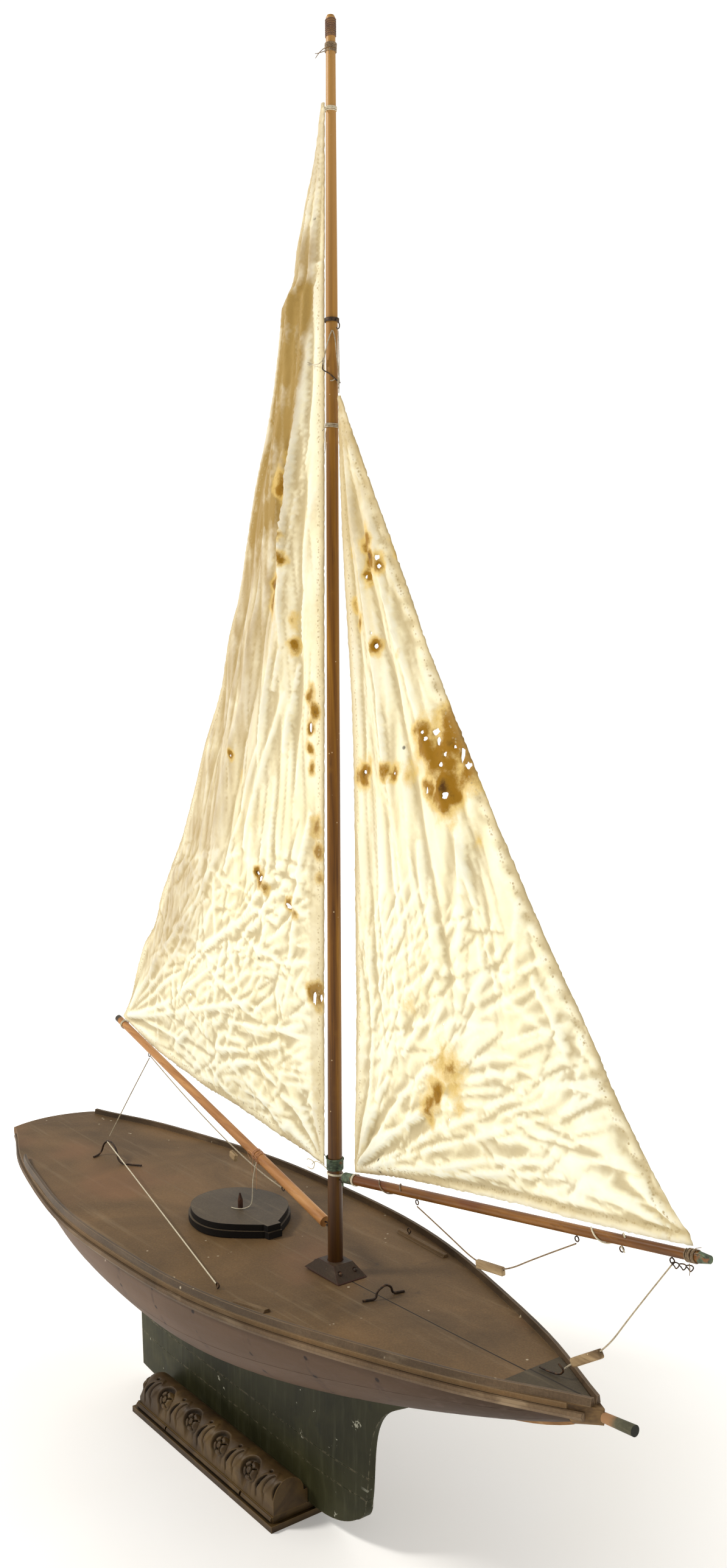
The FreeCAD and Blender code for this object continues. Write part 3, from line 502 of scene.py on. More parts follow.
def frames_along(line):
    """Two crosswise unit directions at each point, turning as little as they can."""
    ahead = np.gradient(line, axis=0)
    ahead /= np.linalg.norm(ahead, axis=1)[:, None]
    across = np.zeros_like(line)
    start = np.cross(ahead[0], [0.31, 0.17, 0.93])
    across[0] = start / np.linalg.norm(start)
    for k in range(1, len(line)):
        turned = across[k - 1] - ahead[k] * np.dot(across[k - 1], ahead[k])
        across[k] = turned / np.linalg.norm(turned)
    return across, np.cross(ahead, across)


def tube_parts(line, radius, sides, strands=0, pitch=0.006, taper=0.0):
    """Points and faces of a closed tube; with strands, its section is lobed and twists once a pitch."""
    across, over = frames_along(line)
    count = len(line)
    reach = np.concatenate([[0], np.cumsum(np.linalg.norm(np.diff(line, axis=0), axis=1))])
    turn = np.linspace(0, 2 * math.pi, sides, endpoint=False)[None, :]
    size = np.full((count, sides), radius)
    if strands:
        twist = reach[:, None] * 2 * math.pi / pitch
        size = radius * (0.80 + 0.20 * np.abs(np.cos(strands / 2 * (turn - twist))))
    if taper:
        size = size * (1 - taper * (reach / reach[-1])[:, None])
    ring = across[:, None, :] * np.cos(turn)[..., None] + over[:, None, :] * np.sin(turn)[..., None]
    points = (line[:, None, :] + ring * size[..., None]).reshape(-1, 3)
    faces = []
    for i in range(count - 1):
        for j in range(sides):
            a, b = i * sides + j, i * sides + (j + 1) % sides
            faces.append((a, b, b + sides, a + sides))
    faces.append(tuple(reversed(range(sides))))
    faces.append(tuple(range((count - 1) * sides, count * sides)))
    return points, faces


def joined(parts):
    """One set of points and faces from several."""
    points, faces, offset = [], [], 0
    for some, these in parts:
        points.append(np.asarray(some))
        faces += [tuple(i + offset for i in face) for face in these]
        offset += len(some)
    return np.concatenate(points), faces


def smooth_line(points):
    """Row-frame points along the NURBS spline that has these control points, in metres."""
    curve = bpy.data.curves.new("line", "CURVE")
    curve.dimensions = "3D"
    curve.resolution_u = 48
    spline = curve.splines.new("NURBS")
    spline.points.add(len(points) - 1)
    for control, p in zip(spline.points, points):
        control.co = (*p, 1)
    spline.order_u = 3
    spline.use_endpoint_u = True
    holder = bpy.data.objects.new("line", curve)
    bpy.context.scene.collection.objects.link(holder)
    read = bpy.data.meshes.new_from_object(holder.evaluated_get(bpy.context.evaluated_depsgraph_get()))
    line = [v.co.copy() for v in read.vertices]
    bpy.data.objects.remove(holder)
    bpy.data.curves.remove(curve)
    bpy.data.meshes.remove(read)
    return line


def mm(points):
    return [at(*p) for p in points]


# ---------------------------------------------------------------- cords, at their real length
CORD, STRING = 0.0015, 0.0011


def twine(name, route, diameter, material, body, strands=3):
    """A laid cord along a route in row metres. body is one name to ride on, or two names and two ends, which
    are not used: the cord then stays fixed where it is laid.
    """
    line = evenly(smooth_line(route), 0.0008)
    points, faces = tube_parts(line, diameter / 2, 12, strands, diameter * 3.6)
    made = add_mesh(name + "_twine", points, faces, material, None, "string")
    if isinstance(body, str):
        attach(made, body)
    else:
        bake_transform(made)
    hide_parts(name)


def all_cords():
    main_sheet = mm([(-463.5, 30.0, 125.0), (-484, 6, 66), (-497, -13, 19.5)])
    twine("main_sheet", main_sheet, CORD, GREY_TWINE,
          ("main_boom", "hull", main_sheet[0], main_sheet[-1]))
    sheet_tail = mm([(-497, -16.5, 12.5), (-463, -17.5, 3), (-46.8, -117, 0.8)])
    twine("sheet_tail", sheet_tail, CORD, PALE_TWINE, "hull")
    jib_sheet = mm([(136, 0, 108.7), (180, 0, 95.6), (223, 0, 81.4), (258, 0, 85.4), (300, 0, 112),
                    (347, 0, 139.5)])
    twine("jib_sheet", jib_sheet, CORD, BROWN_TWINE, "jib_rig")
    tack_line = mm([(449.5, 0, 155.3), (411, 1.5, 105), (376, 3, 56), (338, 3, 32), (329.5, 5, 23.5)])
    twine("tack_line", tack_line, CORD, GREY_TWINE,
          ("jib_rig", "hull", tack_line[0], tack_line[-1]))
    halyard = mm([(14.8, 0, 964.5), (17.0, 0, 934), (15.5, 0, 903.0)])
    twine("jib_halyard", halyard, STRING, GREY_TWINE, "jib_rig")
    boom_line = mm([boom_point(448.5, 128), boom_point(214, 59.5), boom_point(99.6, 55.3)])
    twine("boom_line", boom_line, CORD, GREY_TWINE, "main_boom")
    drop = (BOOM_R_FORE + (BOOM_R_AFT - BOOM_R_FORE) * 157 / BOOM_LENGTH) / math.cos(BOOM_RISE) + 1.0
    hatch_string = mm([boom_axis(157) - Vector((0, 2, drop)), (-173.5, 7.8, 50), (-174.5, 8, 31),
                       (-177, 8.5, 15), (-184, 2, 10.4), (-190, -5.3, 10.4), (-197, -6.8, 10.4)])
    twine("hatch_string", hatch_string, STRING, PALE_TWINE,
          ("main_boom", "hull", hatch_string[0], hatch_string[4]), 2)


def winding(centre, radius, axis, height, turns, thickness, seed, wander=0.0):
    """A helix of twine or wire wound round an axis; all sizes in millimetres."""
    rng = np.random.default_rng(seed)
    axis = Vector(axis).normalized()
    side = axis.cross(Vector((0.2, 0.9, 0.1))).normalized()
    over = axis.cross(side)
    steps = int(turns * 28)
    knots = int(turns) + 2
    drift = np.interp(np.linspace(0, turns, steps + 1), range(knots), rng.normal(0, wander, knots))
    line = []
    for k in range(steps + 1):
        a = 2 * math.pi * turns * k / steps
        lift = height * (k / steps - 0.5) + drift[k]
        line.append(at(*(centre + axis * lift + (side * math.cos(a) + over * math.sin(a)) * radius)))
    return tube_parts(np.array([tuple(p) for p in line]), thickness / 2000, 8)


def strand(base, thickness, offsets, taper=0.3):
    """A short loose end of twine or bent wire, through points offset from a base; all in millimetres."""
    line = evenly(smooth_line(mm([base + Vector(o) for o in offsets])), 0.0007)
    return tube_parts(line, thickness / 2000, 8, taper=taper)


def strands_at(base, thickness, *routes):
    return [strand(base, thickness, offsets) for offsets in routes]


def bind(name, body, material, *parts):
    """One piece made of windings and strands."""
    slot = {WIRE.name: "wire", GREEN_WIRE.name: "verdigris"}.get(material.name, "string")
    return add_mesh(name, *joined(parts), material, body, slot)


def hounds_gear():
    """Thin upper ring, the two legs of twine from the hook, and the bent wire that they hold."""
    def hung(thickness, *places, taper=0.0):
        """Strand beside the mast; a place is (to port and forward, to starboard and forward, height)."""
        points = [mast_axis(z) + Vector((0.6 * a + 0.8 * b, 0.8 * a - 0.6 * b, 0)) for a, b, z in places]
        return strand(Vector(), thickness, points, taper)

    bind("hounds_wire", "hull", WIRE, winding(mast_axis(975.5), 7.1, (0.05, 0, 1), 0.6, 1.1, 1.1, 51),
         hung(1.3, (-8.6, 3, 935), (-9.6, 4, 929), (-8.8, 5, 926.5), (-2, 7.8, 922.5), (3.5, 7.6, 917),
              (8.4, 4.5, 914)))
    bind("hounds_twine", "hull", GREY_TWINE,
         hung(1.2, (0.5, 8.2, 965), (-1.6, 8.4, 961), (-5, 7.2, 950), (-7.4, 5.5, 940), (-8.2, 4.4, 932)),
         hung(1.2, (1.0, 8.2, 965), (3.2, 8.2, 960), (4.6, 7.6, 945), (6.6, 6, 926), (7.6, 5, 915)),
         hung(1.1, (-8.2, 4.2, 939), (-9.6, 4.6, 936), (-8.6, 5.2, 933), (-7.4, 5.4, 936)),
         hung(1.2, (3.0, 8.4, 917), (0.4, 8.8, 914.5), (-1.6, 8.4, 915.5), taper=0.3),
         hung(1.2, (6.8, 6.2, 919), (5.4, 7.6, 914), (7.6, 6.4, 911), (6.4, 6.4, 908)),
         hung(0.9, (-9.6, 4.2, 936), (-11.5, -2, 936), (-13, -7, 936)))
    tuft = [hung(2.0, (-20.5, -20, 938), (-23, -20, 939 + k), (-25.5, -20, 938.5 + 2.0 * k), taper=0.6)
            for k in (-1, 0, 1)]
    bind("hounds_thread", "main_boom", PALE_TWINE,
         hung(0.9, (-13.4, -8, 936), (-17, -14, 936.5), (-21, -20, 938)), *tuft)


def mast_windings():
    """Twine at the masthead, at the sail's head and below the hounds, and copper wire low on the mast."""
    def wound(z, gap, tilt, *rest):
        return winding(mast_axis(z), mast_radius(z) + gap, tilt, *rest)

    top = mast_axis(1242.5)
    lashing = bind("masthead_lashing", "hull", BROWN_TWINE,
                   wound(1242.5, 0.7, (0.05, 0, 1), 9, 6, 1.3, 3, 0.5),
                   strand(top, 0.9, [(-5, -3, 1), (-11, -6, -1), (-15, -8, -7)]),
                   strand(top, 0.9, [(-5, -3, -2), (-9, -9, -5), (-14, -9, -3)]),
                   strand(top, 0.8, [(4, -4, -3), (7, -6, -6), (6, -6, -10)]))
    bind("masthead_tape", "hull", TAPE, wound(1261, 0.25, (0, 0, 1), 17, 9, 1.2, 5, 0.2))
    base = mast_axis(873)
    bind("hounds_wrap", "hull", GREY_TWINE, wound(873, 0.6, (0.12, 0.05, 1), 4, 3, 1.2, 8, 0.4),
         strand(base, 0.9, [(-7, -1, -1), (-9, -2, -5), (-8, -2, -16), (-9, -3, -27)]),
         strand(base, 1.0, [(-8, -1, 0), (-11, -2, -1), (-13, -3, -4)]))
    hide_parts("mast_wraps")
    hounds_gear()
    bind("head_tie", "hull", PALE_TWINE, wound(1183, 0.5, (0.1, 0, 1), 5, 4, 0.9, 11, 0.3),
         strand(mast_axis(1183), 1.6, [(-4, -5, 2), (-1, -8, -1), (2, -8, -6)], 0.6))
    band = bind("copper_band", "hull", GREEN_WIRE, wound(114.5, 0.75, (0, 0, 1), 12, 8, 1.5, 13, 0.1),
                winding(mast_axis(120), mast_radius(114.5) + 1.6, (0.08, 0.05, 1), 1.5, 1.2, 1.2, 14),
                strand(mast_axis(119), 1.1, [(-8, -4, 0), (-11, -5, 1), (-12, -5, 3)]))
    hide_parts("mast_wire_band")
    low = mast_axis(104)
    bind("mast_tie", "hull", PALE_TWINE,
         winding(low, mast_radius(100) + 0.6, (0.05, 0.1, 1), 2.0, 2, 1.2, 17),
         strand(low, 1.2, [(-8, -1, 0), (-22, -2, 5), (-36, -1, 4), (-42, 0, -2)], 0.1),
         strand(low, 1.2, [(-36, -1, 3), (-33, -3, -2), (-38, -4, -6), (-46, -3, -5)], 0.2),
         strand(low, 1.2, [(-38, -1, 2), (-44, -2, 5), (-49, -2, 2)], 0.2))


def boom_windings():
    """Tan thread round the boom above the hatch, with loose bights, and the clew's lashing."""
    direction = boom_axis(200) - boom_axis(100)
    bind("boom_thread", "main_boom", TAN_TWINE, winding(boom_axis(155), 6.5, direction, 16, 6, 0.7, 21, 1.2),
         *strands_at(boom_axis(150), 0.6,
                     [(0, -6, 1), (-9, -8, 8), (-18, -7, 6), (-20, -5, 0), (-14, -5, -4)],
                     [(3, -6, 0), (2, -8, -9), (4, -8, -22), (3, -8, -34)],
                     [(-5, -6, 2), (-8, -8, -7), (-6, -8, -17)]))
    end = boom_axis(545)
    bind("clew_lashing", "main_boom", PALE_TWINE, winding(end, 5.7, direction, 4, 3, 1.0, 22, 0.3),
         strand(end, 1.0, [(0, -3, 5), (4, -2, 8), (9, -1, 11)]))


def club_windings():
    """On the jib club: the tack's dark lashing, the clew's tie, two spiral turns of cord and wire links."""
    direction = CLUB_FORE - CLUB_AFT
    c = club_at(470)
    bind("tack_lashing", "jib_rig", BROWN_TWINE, winding(c, 4.9, direction, 9, 6, 1.3, 31, 0.6),
         *strands_at(c, 0.8, [(2, -3, 5), (5, -3, 9), (10, -2, 10)], [(4, -3, 4), (9, -4, 6), (13, -5, 5)],
                     [(0, -4, -5), (2, -5, -10), (1, -5, -14)]))
    bind("jib_clew_tie", "jib_rig", PALE_TWINE, winding(club_at(37), 5.9, direction, 3, 3, 0.9, 33, 0.3))
    bind("club_cord_aft", "jib_rig", BROWN_TWINE, winding(club_at(98), 5.8, direction, 40, 1.2, 1.2, 34))
    bind("club_lacing", "jib_rig", PALE_TWINE, winding(club_at(385), 5.2, direction, 40, 1.1, 1.4, 35),
         strand(club_at(402), 1.3, [(-2, -3, -4), (0, -3, -7), (1, -2, -9)], 0.1))
    links = []
    for k in range(3):
        middle = club_at(450) + Vector((4 + 7 * k, -1, -9.5 + 1.2 * k))
        loop = [middle + Vector((3.2 * math.cos(a), 1.2 * math.sin(2 * a), 2.2 * math.sin(a)))
                for a in np.linspace(0, 2 * math.pi, 14)]
        links.append(tube_parts(evenly(mm(loop), 0.0006), 0.00055, 8))
    bind("club_links", "jib_rig", WIRE, *links)


# ---------------------------------------------------------------- sails
MAIN_LUFF = [(106, 8), (300, 5.3), (600, 1.2), (900, -3.0), (1194, -7)]
MAIN_LEECH = [(166, 533), (196, 506), (251, 472), (278, 454), (308, 417), (359, 387), (425, 331),
              (488, 292), (548, 258), (577, 236), (605, 219), (633, 208), (660, 198), (714, 169),
              (766, 153), (818, 134), (892, 103), (940, 88), (989, 77), (1012, 73), (1019, 66), (1023, 57),
              (1056, 45), (1101, 28), (1144, 11), (1194, 0)]
MAIN_FOOT = [(8, 107), (43, 111), (90, 114), (158, 119), (230, 124), (290, 127), (344, 132), (419, 141),
             (480, 153), (533, 166)]
JIB_LUFF = [(176, 470), (211, 441), (237, 418), (276, 391), (347, 343), (403, 304), (462, 266), (503, 239),
            (568, 200), (612, 174), (658, 147), (705, 123), (753, 98), (803, 70), (828, 56), (900, 19)]
JIB_LEECH = [(118, 36), (258, 40), (443, 38), (596, 34), (688, 26), (773, 19), (900, 13.5)]
JIB_FOOT = [(36, 115), (111, 130), (200, 143), (291, 155), (384, 165), (470, 176)]
CLOTH_SPACING = 3.2
CLOTH = 0.0004
CAMBER = 0.05
CREASE_WIDTH = (1.4, 3.6)


def rounded(points, values):
    """A smooth function through (values, points): a shape-keeping cubic."""
    xs, ys = np.array([p[0] for p in points], float), np.array([p[1] for p in points], float)
    slopes = np.diff(ys) / np.diff(xs)
    tangent = np.concatenate([[slopes[0]], (slopes[1:] + slopes[:-1]) / 2, [slopes[-1]]])
    values = np.clip(values, xs[0], xs[-1])
    i = np.clip(np.searchsorted(xs, values, "right") - 1, 0, len(xs) - 2)
    width = xs[i + 1] - xs[i]
    t = (values - xs[i]) / width
    rise = ys[i] * (1 + 2 * t) * (1 - t) ** 2 + ys[i + 1] * t * t * (3 - 2 * t)
    bend = tangent[i] * t * (1 - t) ** 2 - tangent[i + 1] * t * t * (1 - t)
    return rise + bend * width


def edge_at(points, height):
    """A sail's edge at one height."""
    return float(rounded(points, np.array([height]))[0])


def inside(points, polygon):
    """Which points lie in a polygon."""
    hit = np.zeros(len(points), bool)
    x, y = points[:, 0], points[:, 1]
    for (x0, y0), (x1, y1) in zip(polygon, np.roll(polygon, -1, axis=0)):
        if y0 == y1:
            continue
        crosses = (y0 > y) != (y1 > y)
        hit ^= crosses & (x < (x1 - x0) * (y - y0) / (y1 - y0) + x0)
    return hit


def edge_distance(points, polygon):
    """How far each point lies from the polygon's outline."""
    best = np.full(len(points), 1e9)
    for a, b in zip(polygon, np.roll(polygon, -1, axis=0)):
        d = b - a
        t = np.clip(((points - a) @ d) / max(d @ d, 1e-9), 0, 1)
        best = np.minimum(best, np.linalg.norm(points - a - t[:, None] * d, axis=1))
    return best


def resampled(outline, spacing):
    closed = np.vstack([outline, outline[:1]])
    reach = np.concatenate([[0], np.cumsum(np.linalg.norm(np.diff(closed, axis=0), axis=1))])
    stops = np.linspace(0, reach[-1], int(reach[-1] / spacing), endpoint=False)
    return np.stack([np.interp(stops, reach, closed[:, k]) for k in range(2)], axis=1)


def sail_outline(luff, leech, foot, fray, seed):
    """The cloth's flat outline, foot first, then the leech or luff upwards and back down the other edge."""
    rising = np.linspace(0, 1, 90)
    near = luff[0][0] + (luff[-1][0] - luff[0][0]) * rising
    far = leech[0][0] + (leech[-1][0] - leech[0][0]) * rising
    across = np.linspace(foot[0][0], foot[-1][0], 50)
    foot_line = np.stack([across, rounded(foot, across)], axis=1)
    far_line = np.stack([rounded(leech, far), far], axis=1)
    near_line = np.stack([rounded(luff, near), near], axis=1)
    outline = resampled(np.vstack([foot_line[:-1], far_line, near_line[::-1][:-1]]), CLOTH_SPACING)
    rng = np.random.default_rng(seed)
    return outline + rng.normal(0, fray, outline.shape)


def hole_outline(x, z, width, height, rng):
    """A torn round hole with an uneven rim."""
    count = 11
    a = np.linspace(0, 2 * math.pi, count, endpoint=False) + rng.uniform(0, 1)
    r = rng.uniform(0.6, 1.15, count)
    return np.stack([x + width / 2 * r * np.cos(a), z + height / 2 * r * np.sin(a)], axis=1)


def woven_net(outline, holes, spacing, seed):
    """Triangles over the outline, with the holes left out: flat points and faces."""
    rng = np.random.default_rng(seed)
    low, high = outline.min(0), outline.max(0)
    xs = np.arange(low[0], high[0], spacing)
    zs = np.arange(low[1], high[1], spacing * 0.866)
    grid = np.array([(x + (k % 2) * spacing / 2, z) for k, z in enumerate(zs) for x in xs])
    grid = grid + rng.uniform(-0.12, 0.12, grid.shape) * spacing
    grid = grid[inside(grid, outline)]
    grid = grid[edge_distance(grid, outline) > spacing * 0.45]
    for hole in holes:
        near = np.abs(grid - hole.mean(0)).max(1) < 30
        keep = np.ones(len(grid), bool)
        keep[near] = ~inside(grid[near], hole) & (edge_distance(grid[near], hole) > spacing * 0.3)
        grid = grid[keep]
    points, edges = [outline], []
    offset = 0
    for loop in [outline] + holes:
        count = len(loop)
        edges += [(offset + k, offset + (k + 1) % count) for k in range(count)]
        offset += count
    flat = np.vstack([outline] + holes + [grid])
    made = geometry.delaunay_2d_cdt([Vector(p) for p in flat], edges, [], 0, 1e-6, False)
    flat = np.array([tuple(p) for p in made[0]])
    faces = np.array(made[2])
    middle = flat[faces].mean(1)
    keep = inside(middle, outline)
    for hole in holes:
        keep &= ~inside(middle, hole)
    return flat, faces[keep]


def crease(points, start, end, width, height):
    """A fold in the cloth from start to end: a sharp ridge that fades out sideways and at both ends."""
    a, b = np.array(start, float), np.array(end, float)
    d = b - a
    length = max(np.linalg.norm(d), 1e-6)
    along = ((points - a) @ d) / length ** 2
    off = np.abs((points - a) @ np.array([-d[1], d[0]])) / length
    fade = np.clip(1 - np.abs(along * 2 - 1), 0, 1) ** 0.35
    return height * fade * np.exp(-off / width)


def scattered_creases(points, rng, count, where, heading, spread, length, height):
    """Many small creases around where(rng), headed about heading(x, z) radians from level."""
    total = np.zeros(len(points))
    for _ in range(count):
        x, z = where(rng)
        a = heading(x, z) + rng.normal(0, spread)
        half = rng.uniform(*length) / 2
        step = np.array([math.cos(a), math.sin(a)]) * half
        size = rng.uniform(*height) * rng.choice([-1, 1])
        middle = np.array([x, z])
        total += crease(points, middle - step, middle + step, rng.uniform(*CREASE_WIDTH), size)
    return total


def ripple(points, size_x, size_z, turn=0.0, shift=0.0):
    """Soft noise from -1 to 1 over the cloth, patches size_x by size_z, turned."""
    c, s = math.cos(turn), math.sin(turn)
    x = (points[:, 0] * c + points[:, 1] * s) / size_x
    z = (points[:, 1] * c - points[:, 0] * s) / size_z
    return np.array([noise.noise(Vector((a, b, shift))) for a, b in zip(x, z)])


def spots(points, places):
    """Ragged stain strength at each point from (x, z, radius, strength) places."""
    wander = np.stack([ripple(points, 16, 16, shift=21.0), ripple(points, 16, 16, shift=27.0)], axis=1)
    fine = np.stack([ripple(points, 5, 6, shift=31.0), ripple(points, 5, 6, shift=37.0)], axis=1)
    total = np.zeros(len(points))
    for x, z, radius, strength in places:
        moved = points + wander * radius * 0.5 + fine * 2.0
        d = np.hypot(moved[:, 0] - x, (moved[:, 1] - z) * 0.8) / radius
        total = np.maximum(total, 1.05 * strength * np.exp(-d ** 2))
    return total


def crumple(points, size, shift, turn=0.0, stretch=1.0):
    """Sharp-ridged noise from 0 to 1, as in cloth that has been folded away."""
    return 1 - np.sqrt(np.abs(ripple(points, size, size * stretch, turn, shift)) * 1.8).clip(0, 1)


def folds(points, lines, width, height):
    """Long pleats along listed lines of points, each crossed by a lit and a shaded side."""
    total = np.zeros(len(points))
    for line in lines:
        for start, end in zip(line, line[1:]):
            total += crease(points, start, end, width, height)
    return total


def fade(value, start, run, least=0):
    """From 0 (or the least) at the start to 1 one run further on; a negative run goes downwards."""
    return np.clip((value - start) / run, least, 1)


def hanging(z, share, places, sway):
    """Long folds that sway as they rise; each is (share of the chord, width, height)."""
    total = np.zeros(len(z))
    for place, width, height in places:
        wander = place + 0.03 * np.sin(z / sway[0] + place * sway[1])
        total += height * np.exp(-np.abs(share - wander) / width)
    return total


def gathers(x, z, corner, heading, pleats, phase, reach, clear):
    """Pleats that fan out from a corner; heading is 1 where the cloth lies towards larger x, else -1."""
    far = np.hypot(x - corner[0], z - corner[1])
    angle = np.arctan2(z - corner[1], heading * (x - corner[0]))
    return np.sin(angle * pleats + phase) * np.exp(-far / reach) * np.clip(far / clear, 0, 1)


def cotton(name, tan, stains):
    """Aged sailcloth that lets light through, tinted by its maps: tan of yellowing mixed with painted shade,
    painted shade in valleys and painted highlight on ridges, stains, and a hem darkened as painted shade.
    """
    f = Finish(name, 0.92, specular=0.15, sheen=0.25)
    clouds = f.noise(0.10, distort=0.5)
    f.ramp(clouds, (0.30, (250, 242, 208)), (0.52, (254, 249, 222)), (0.72, (255, 253, 234)))
    f.patches(f.noise(0.018, (1, 1, 3), detail=5.0), 0.54, 0.76, (222, 202, 150), 0.34)
    # Painted shade in the folds' valleys and painted highlight on their ridges.
    f.tint(f.attribute("valley"), (190, 168, 114), 0.60)
    f.tint(f.attribute("ridge"), (255, 254, 240))
    # Tan of yellowed cloth, mixed with painted shade on the sails' leech sides.
    f.tint(f.times(f.attribute("age_and_shade"), f.step(f.noise(0.05), 0.10, 0.62)), tan)
    frayed = f.times(f.math("SUBTRACT", f.noise(0.014, detail=6.0, rough=0.7), 0.5), 0.75)
    ragged = f.plus(f.attribute("rust"), frayed)
    light_rust, mid_rust, dark_rust = stains
    f.patches(ragged, 0.22, 0.58, light_rust, 0.8)
    f.patches(ragged, 0.50, 0.80, mid_rust)
    f.patches(ragged, 0.86, 1.14, dark_rust)
    f.tint(f.specks(0.016, 0.30), (70, 60, 42))
    # Painted shade on the hem, where doubled cloth lets less light through.
    f.tint(f.attribute("hem"), (206, 184, 134), 0.35)
    f.tint(f.times(f.attribute("stitch"), f.step(f.cells(0.0032), 0.42, 0.30)), (196, 176, 130))
    weave = f.plus(f.noise(0.0008, (1, 1, 14), detail=2.0), f.noise(0.0008, (14, 1, 1), detail=2.0))
    f.bump(weave, 0.00025, 0.5)
    for tilt in (0.6, -0.7):
        f.bump(f.noise(0.010, (3.5, 1, 1), distort=0.6, turn=(0, tilt, 0)), 0.0011, 0.6)
    through = f.node("ShaderNodeBsdfTranslucent", {"Color": f.base})
    both = f.node("ShaderNodeMixShader", {0: 0.36, 1: f.shader.outputs[0], 2: through.outputs[0]})
    f.tree.links.new(both.outputs[0], f.tree.nodes["Material Output"].inputs["Surface"])
    return f.done()


def relief(faces, out):
    """Sharp ridges and valleys of the cloth, each from 0 to 1; ridges face starboard. They mask the cloth's
    painted highlight on ridges and painted shade in valleys.
    """
    pairs = np.vstack([faces[:, [0, 1]], faces[:, [1, 2]], faces[:, [2, 0]]])
    pairs = np.vstack([pairs, pairs[:, ::-1]])
    count = np.bincount(pairs[:, 0], minlength=len(out))
    broad = out.copy()
    for _ in range(5):
        broad = np.bincount(pairs[:, 0], broad[pairs[:, 1]], len(out)) / np.maximum(count, 1)
    high = (broad - out) / 0.62
    return {"ridge": np.clip(high, 0, 1), "valley": np.clip(-high, 0, 1)}


def add_sail(name, node, body, material, faces, placed, maps):
    """The finished cloth: its maps as point attributes and a real thickness."""
    made = add_mesh(name, placed, faces.tolist(), material, body, "sail_cloth")
    for key, values in maps.items():
        layer = made.data.attributes.new(key, "FLOAT", "POINT")
        layer.data.foreach_set("value", np.clip(values, 0, 1.5).astype(np.float32))
    thick = made.modifiers.new("thickness", "SOLIDIFY")
    thick.thickness = CLOTH
    thick.offset = 0.0
    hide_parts(node)


MAIN_HOLES = [(22, 568, 5, 12), (113, 407, 5, 4), (105, 402, 6, 6), (59, 377, 8, 7), (19, 283, 6, 15),
              (9, 285, 4, 9), (174, 535, 2.5, 3), (272, 245, 4, 3)]
MAIN_STAINS = [(70, 823, 14, 0.9), (66, 771, 11, 0.8), (79, 721, 12, 1.0), (82, 700, 13, 0.85),
               (48, 680, 10, 0.6), (50, 655, 10, 0.9), (22, 603, 11, 0.85), (16, 585, 10, 0.9),
               (24, 568, 9, 1.0), (24, 545, 9, 0.9), (22, 525, 8, 0.8), (113, 407, 9, 1.0),
               (105, 400, 9, 0.9), (96, 392, 8, 0.7), (59, 380, 9, 0.85), (46, 370, 7, 0.7),
               (15, 464, 12, 0.8), (12, 438, 10, 0.85), (10, 410, 9, 0.7), (16, 287, 14, 0.95),
               (174, 537, 7, 0.9), (155, 512, 9, 0.45), (225, 380, 10, 0.3), (60, 850, 10, 0.5),
               (60, 745, 9, 0.8)]
MAIN_BAND = [(106, 80), (698, 80), (756, 66), (799, 56), (856, 45), (905, 33), (965, 20), (1010, 12),
             (1062, 6), (1194, -7)]
MAIN_SHADE = [(106, 520), (230, 410), (296, 297), (387, 229), (472, 166), (531, 144), (607, 118), (700, 80),
              (900, 36), (1194, 0)]
MAIN_PLEATS = [[(-4, 861), (8, 821), (26, 767), (32, 710), (39, 652), (51, 606), (66, 540)],
               [(55, 799), (64, 727), (68, 653), (81, 606)], [(4, 988), (8, 919), (22, 869), (29, 824)],
               [(3, 750), (9, 694), (6, 622)], [(83, 643), (108, 551), (150, 473), (190, 400)],
               [(62, 606), (117, 494), (143, 431)], [(24, 481), (46, 388), (55, 313)],
               [(26, 1120), (12, 1060), (10, 1000)]]
MAIN_FAN = [[(522, 170), (326, 279), (201, 426)], [(520, 170), (366, 282), (266, 355)],
            [(518, 170), (279, 278), (146, 354)], [(516, 168), (329, 227), (207, 290)],
            [(512, 168), (291, 221), (133, 262)], [(457, 177), (332, 175)], [(352, 166), (302, 194)],
            [(146, 354), (89, 406)], [(192, 244), (149, 259), (134, 247)],
            [(184, 229), (88, 236), (36, 251)], [(212, 171), (136, 192), (98, 173)],
            [(229, 188), (152, 200), (73, 224)], [(114, 358), (163, 316)], [(67, 386), (25, 369)],
            [(90, 163), (32, 159)], [(131, 329), (55, 313)]]
JIB_HOLES = [(162, 560, 4, 5), (173, 566, 9, 7), (177, 558, 6, 9), (158, 566, 3, 4), (199, 583, 4, 3),
             (210, 583, 4, 5), (186, 546, 4, 5), (205, 545, 5, 17), (213, 536, 8, 8), (220, 549, 6, 17),
             (182, 537, 6, 5), (196, 553, 3, 4), (236, 520, 5, 7), (190, 509, 8, 7), (164, 512, 3, 8),
             (60, 525, 6, 5), (115, 526, 3, 3), (108, 751, 7, 5), (90, 724, 4, 5), (87, 733, 5, 7),
             (145, 696, 4, 7), (84, 648, 5, 6), (66, 716, 3, 4), (77, 661, 2, 3), (203, 141.5, 3, 3),
             (208, 215, 2, 3), (196, 300, 2, 2)]
JIB_FAN = [[(40, 118), (85, 202), (112, 234)], [(40, 118), (98, 183), (153, 238), (193, 267)],
           [(41, 118), (120, 183), (204, 232)], [(42, 118), (132, 167), (204, 211)],
           [(44, 119), (153, 168), (223, 198), (280, 223)], [(50, 120), (173, 158), (252, 188), (326, 206)],
           [(56, 121), (200, 158), (283, 184), (342, 197)], [(300, 360), (323, 331), (342, 302)],
           [(69, 364), (74, 270), (72, 187)], [(154, 465), (166, 407)], [(208, 469), (215, 421)],
           [(165, 300), (133, 257)], [(252, 267), (290, 273)], [(252, 235), (300, 261)],
           [(266, 210), (307, 222)], [(351, 277), (382, 288)]]
JIB_SEAM = [(176, 446), (182, 442), (222, 425), (258, 405), (289, 385), (360, 318), (480, 243), (900, 2)]
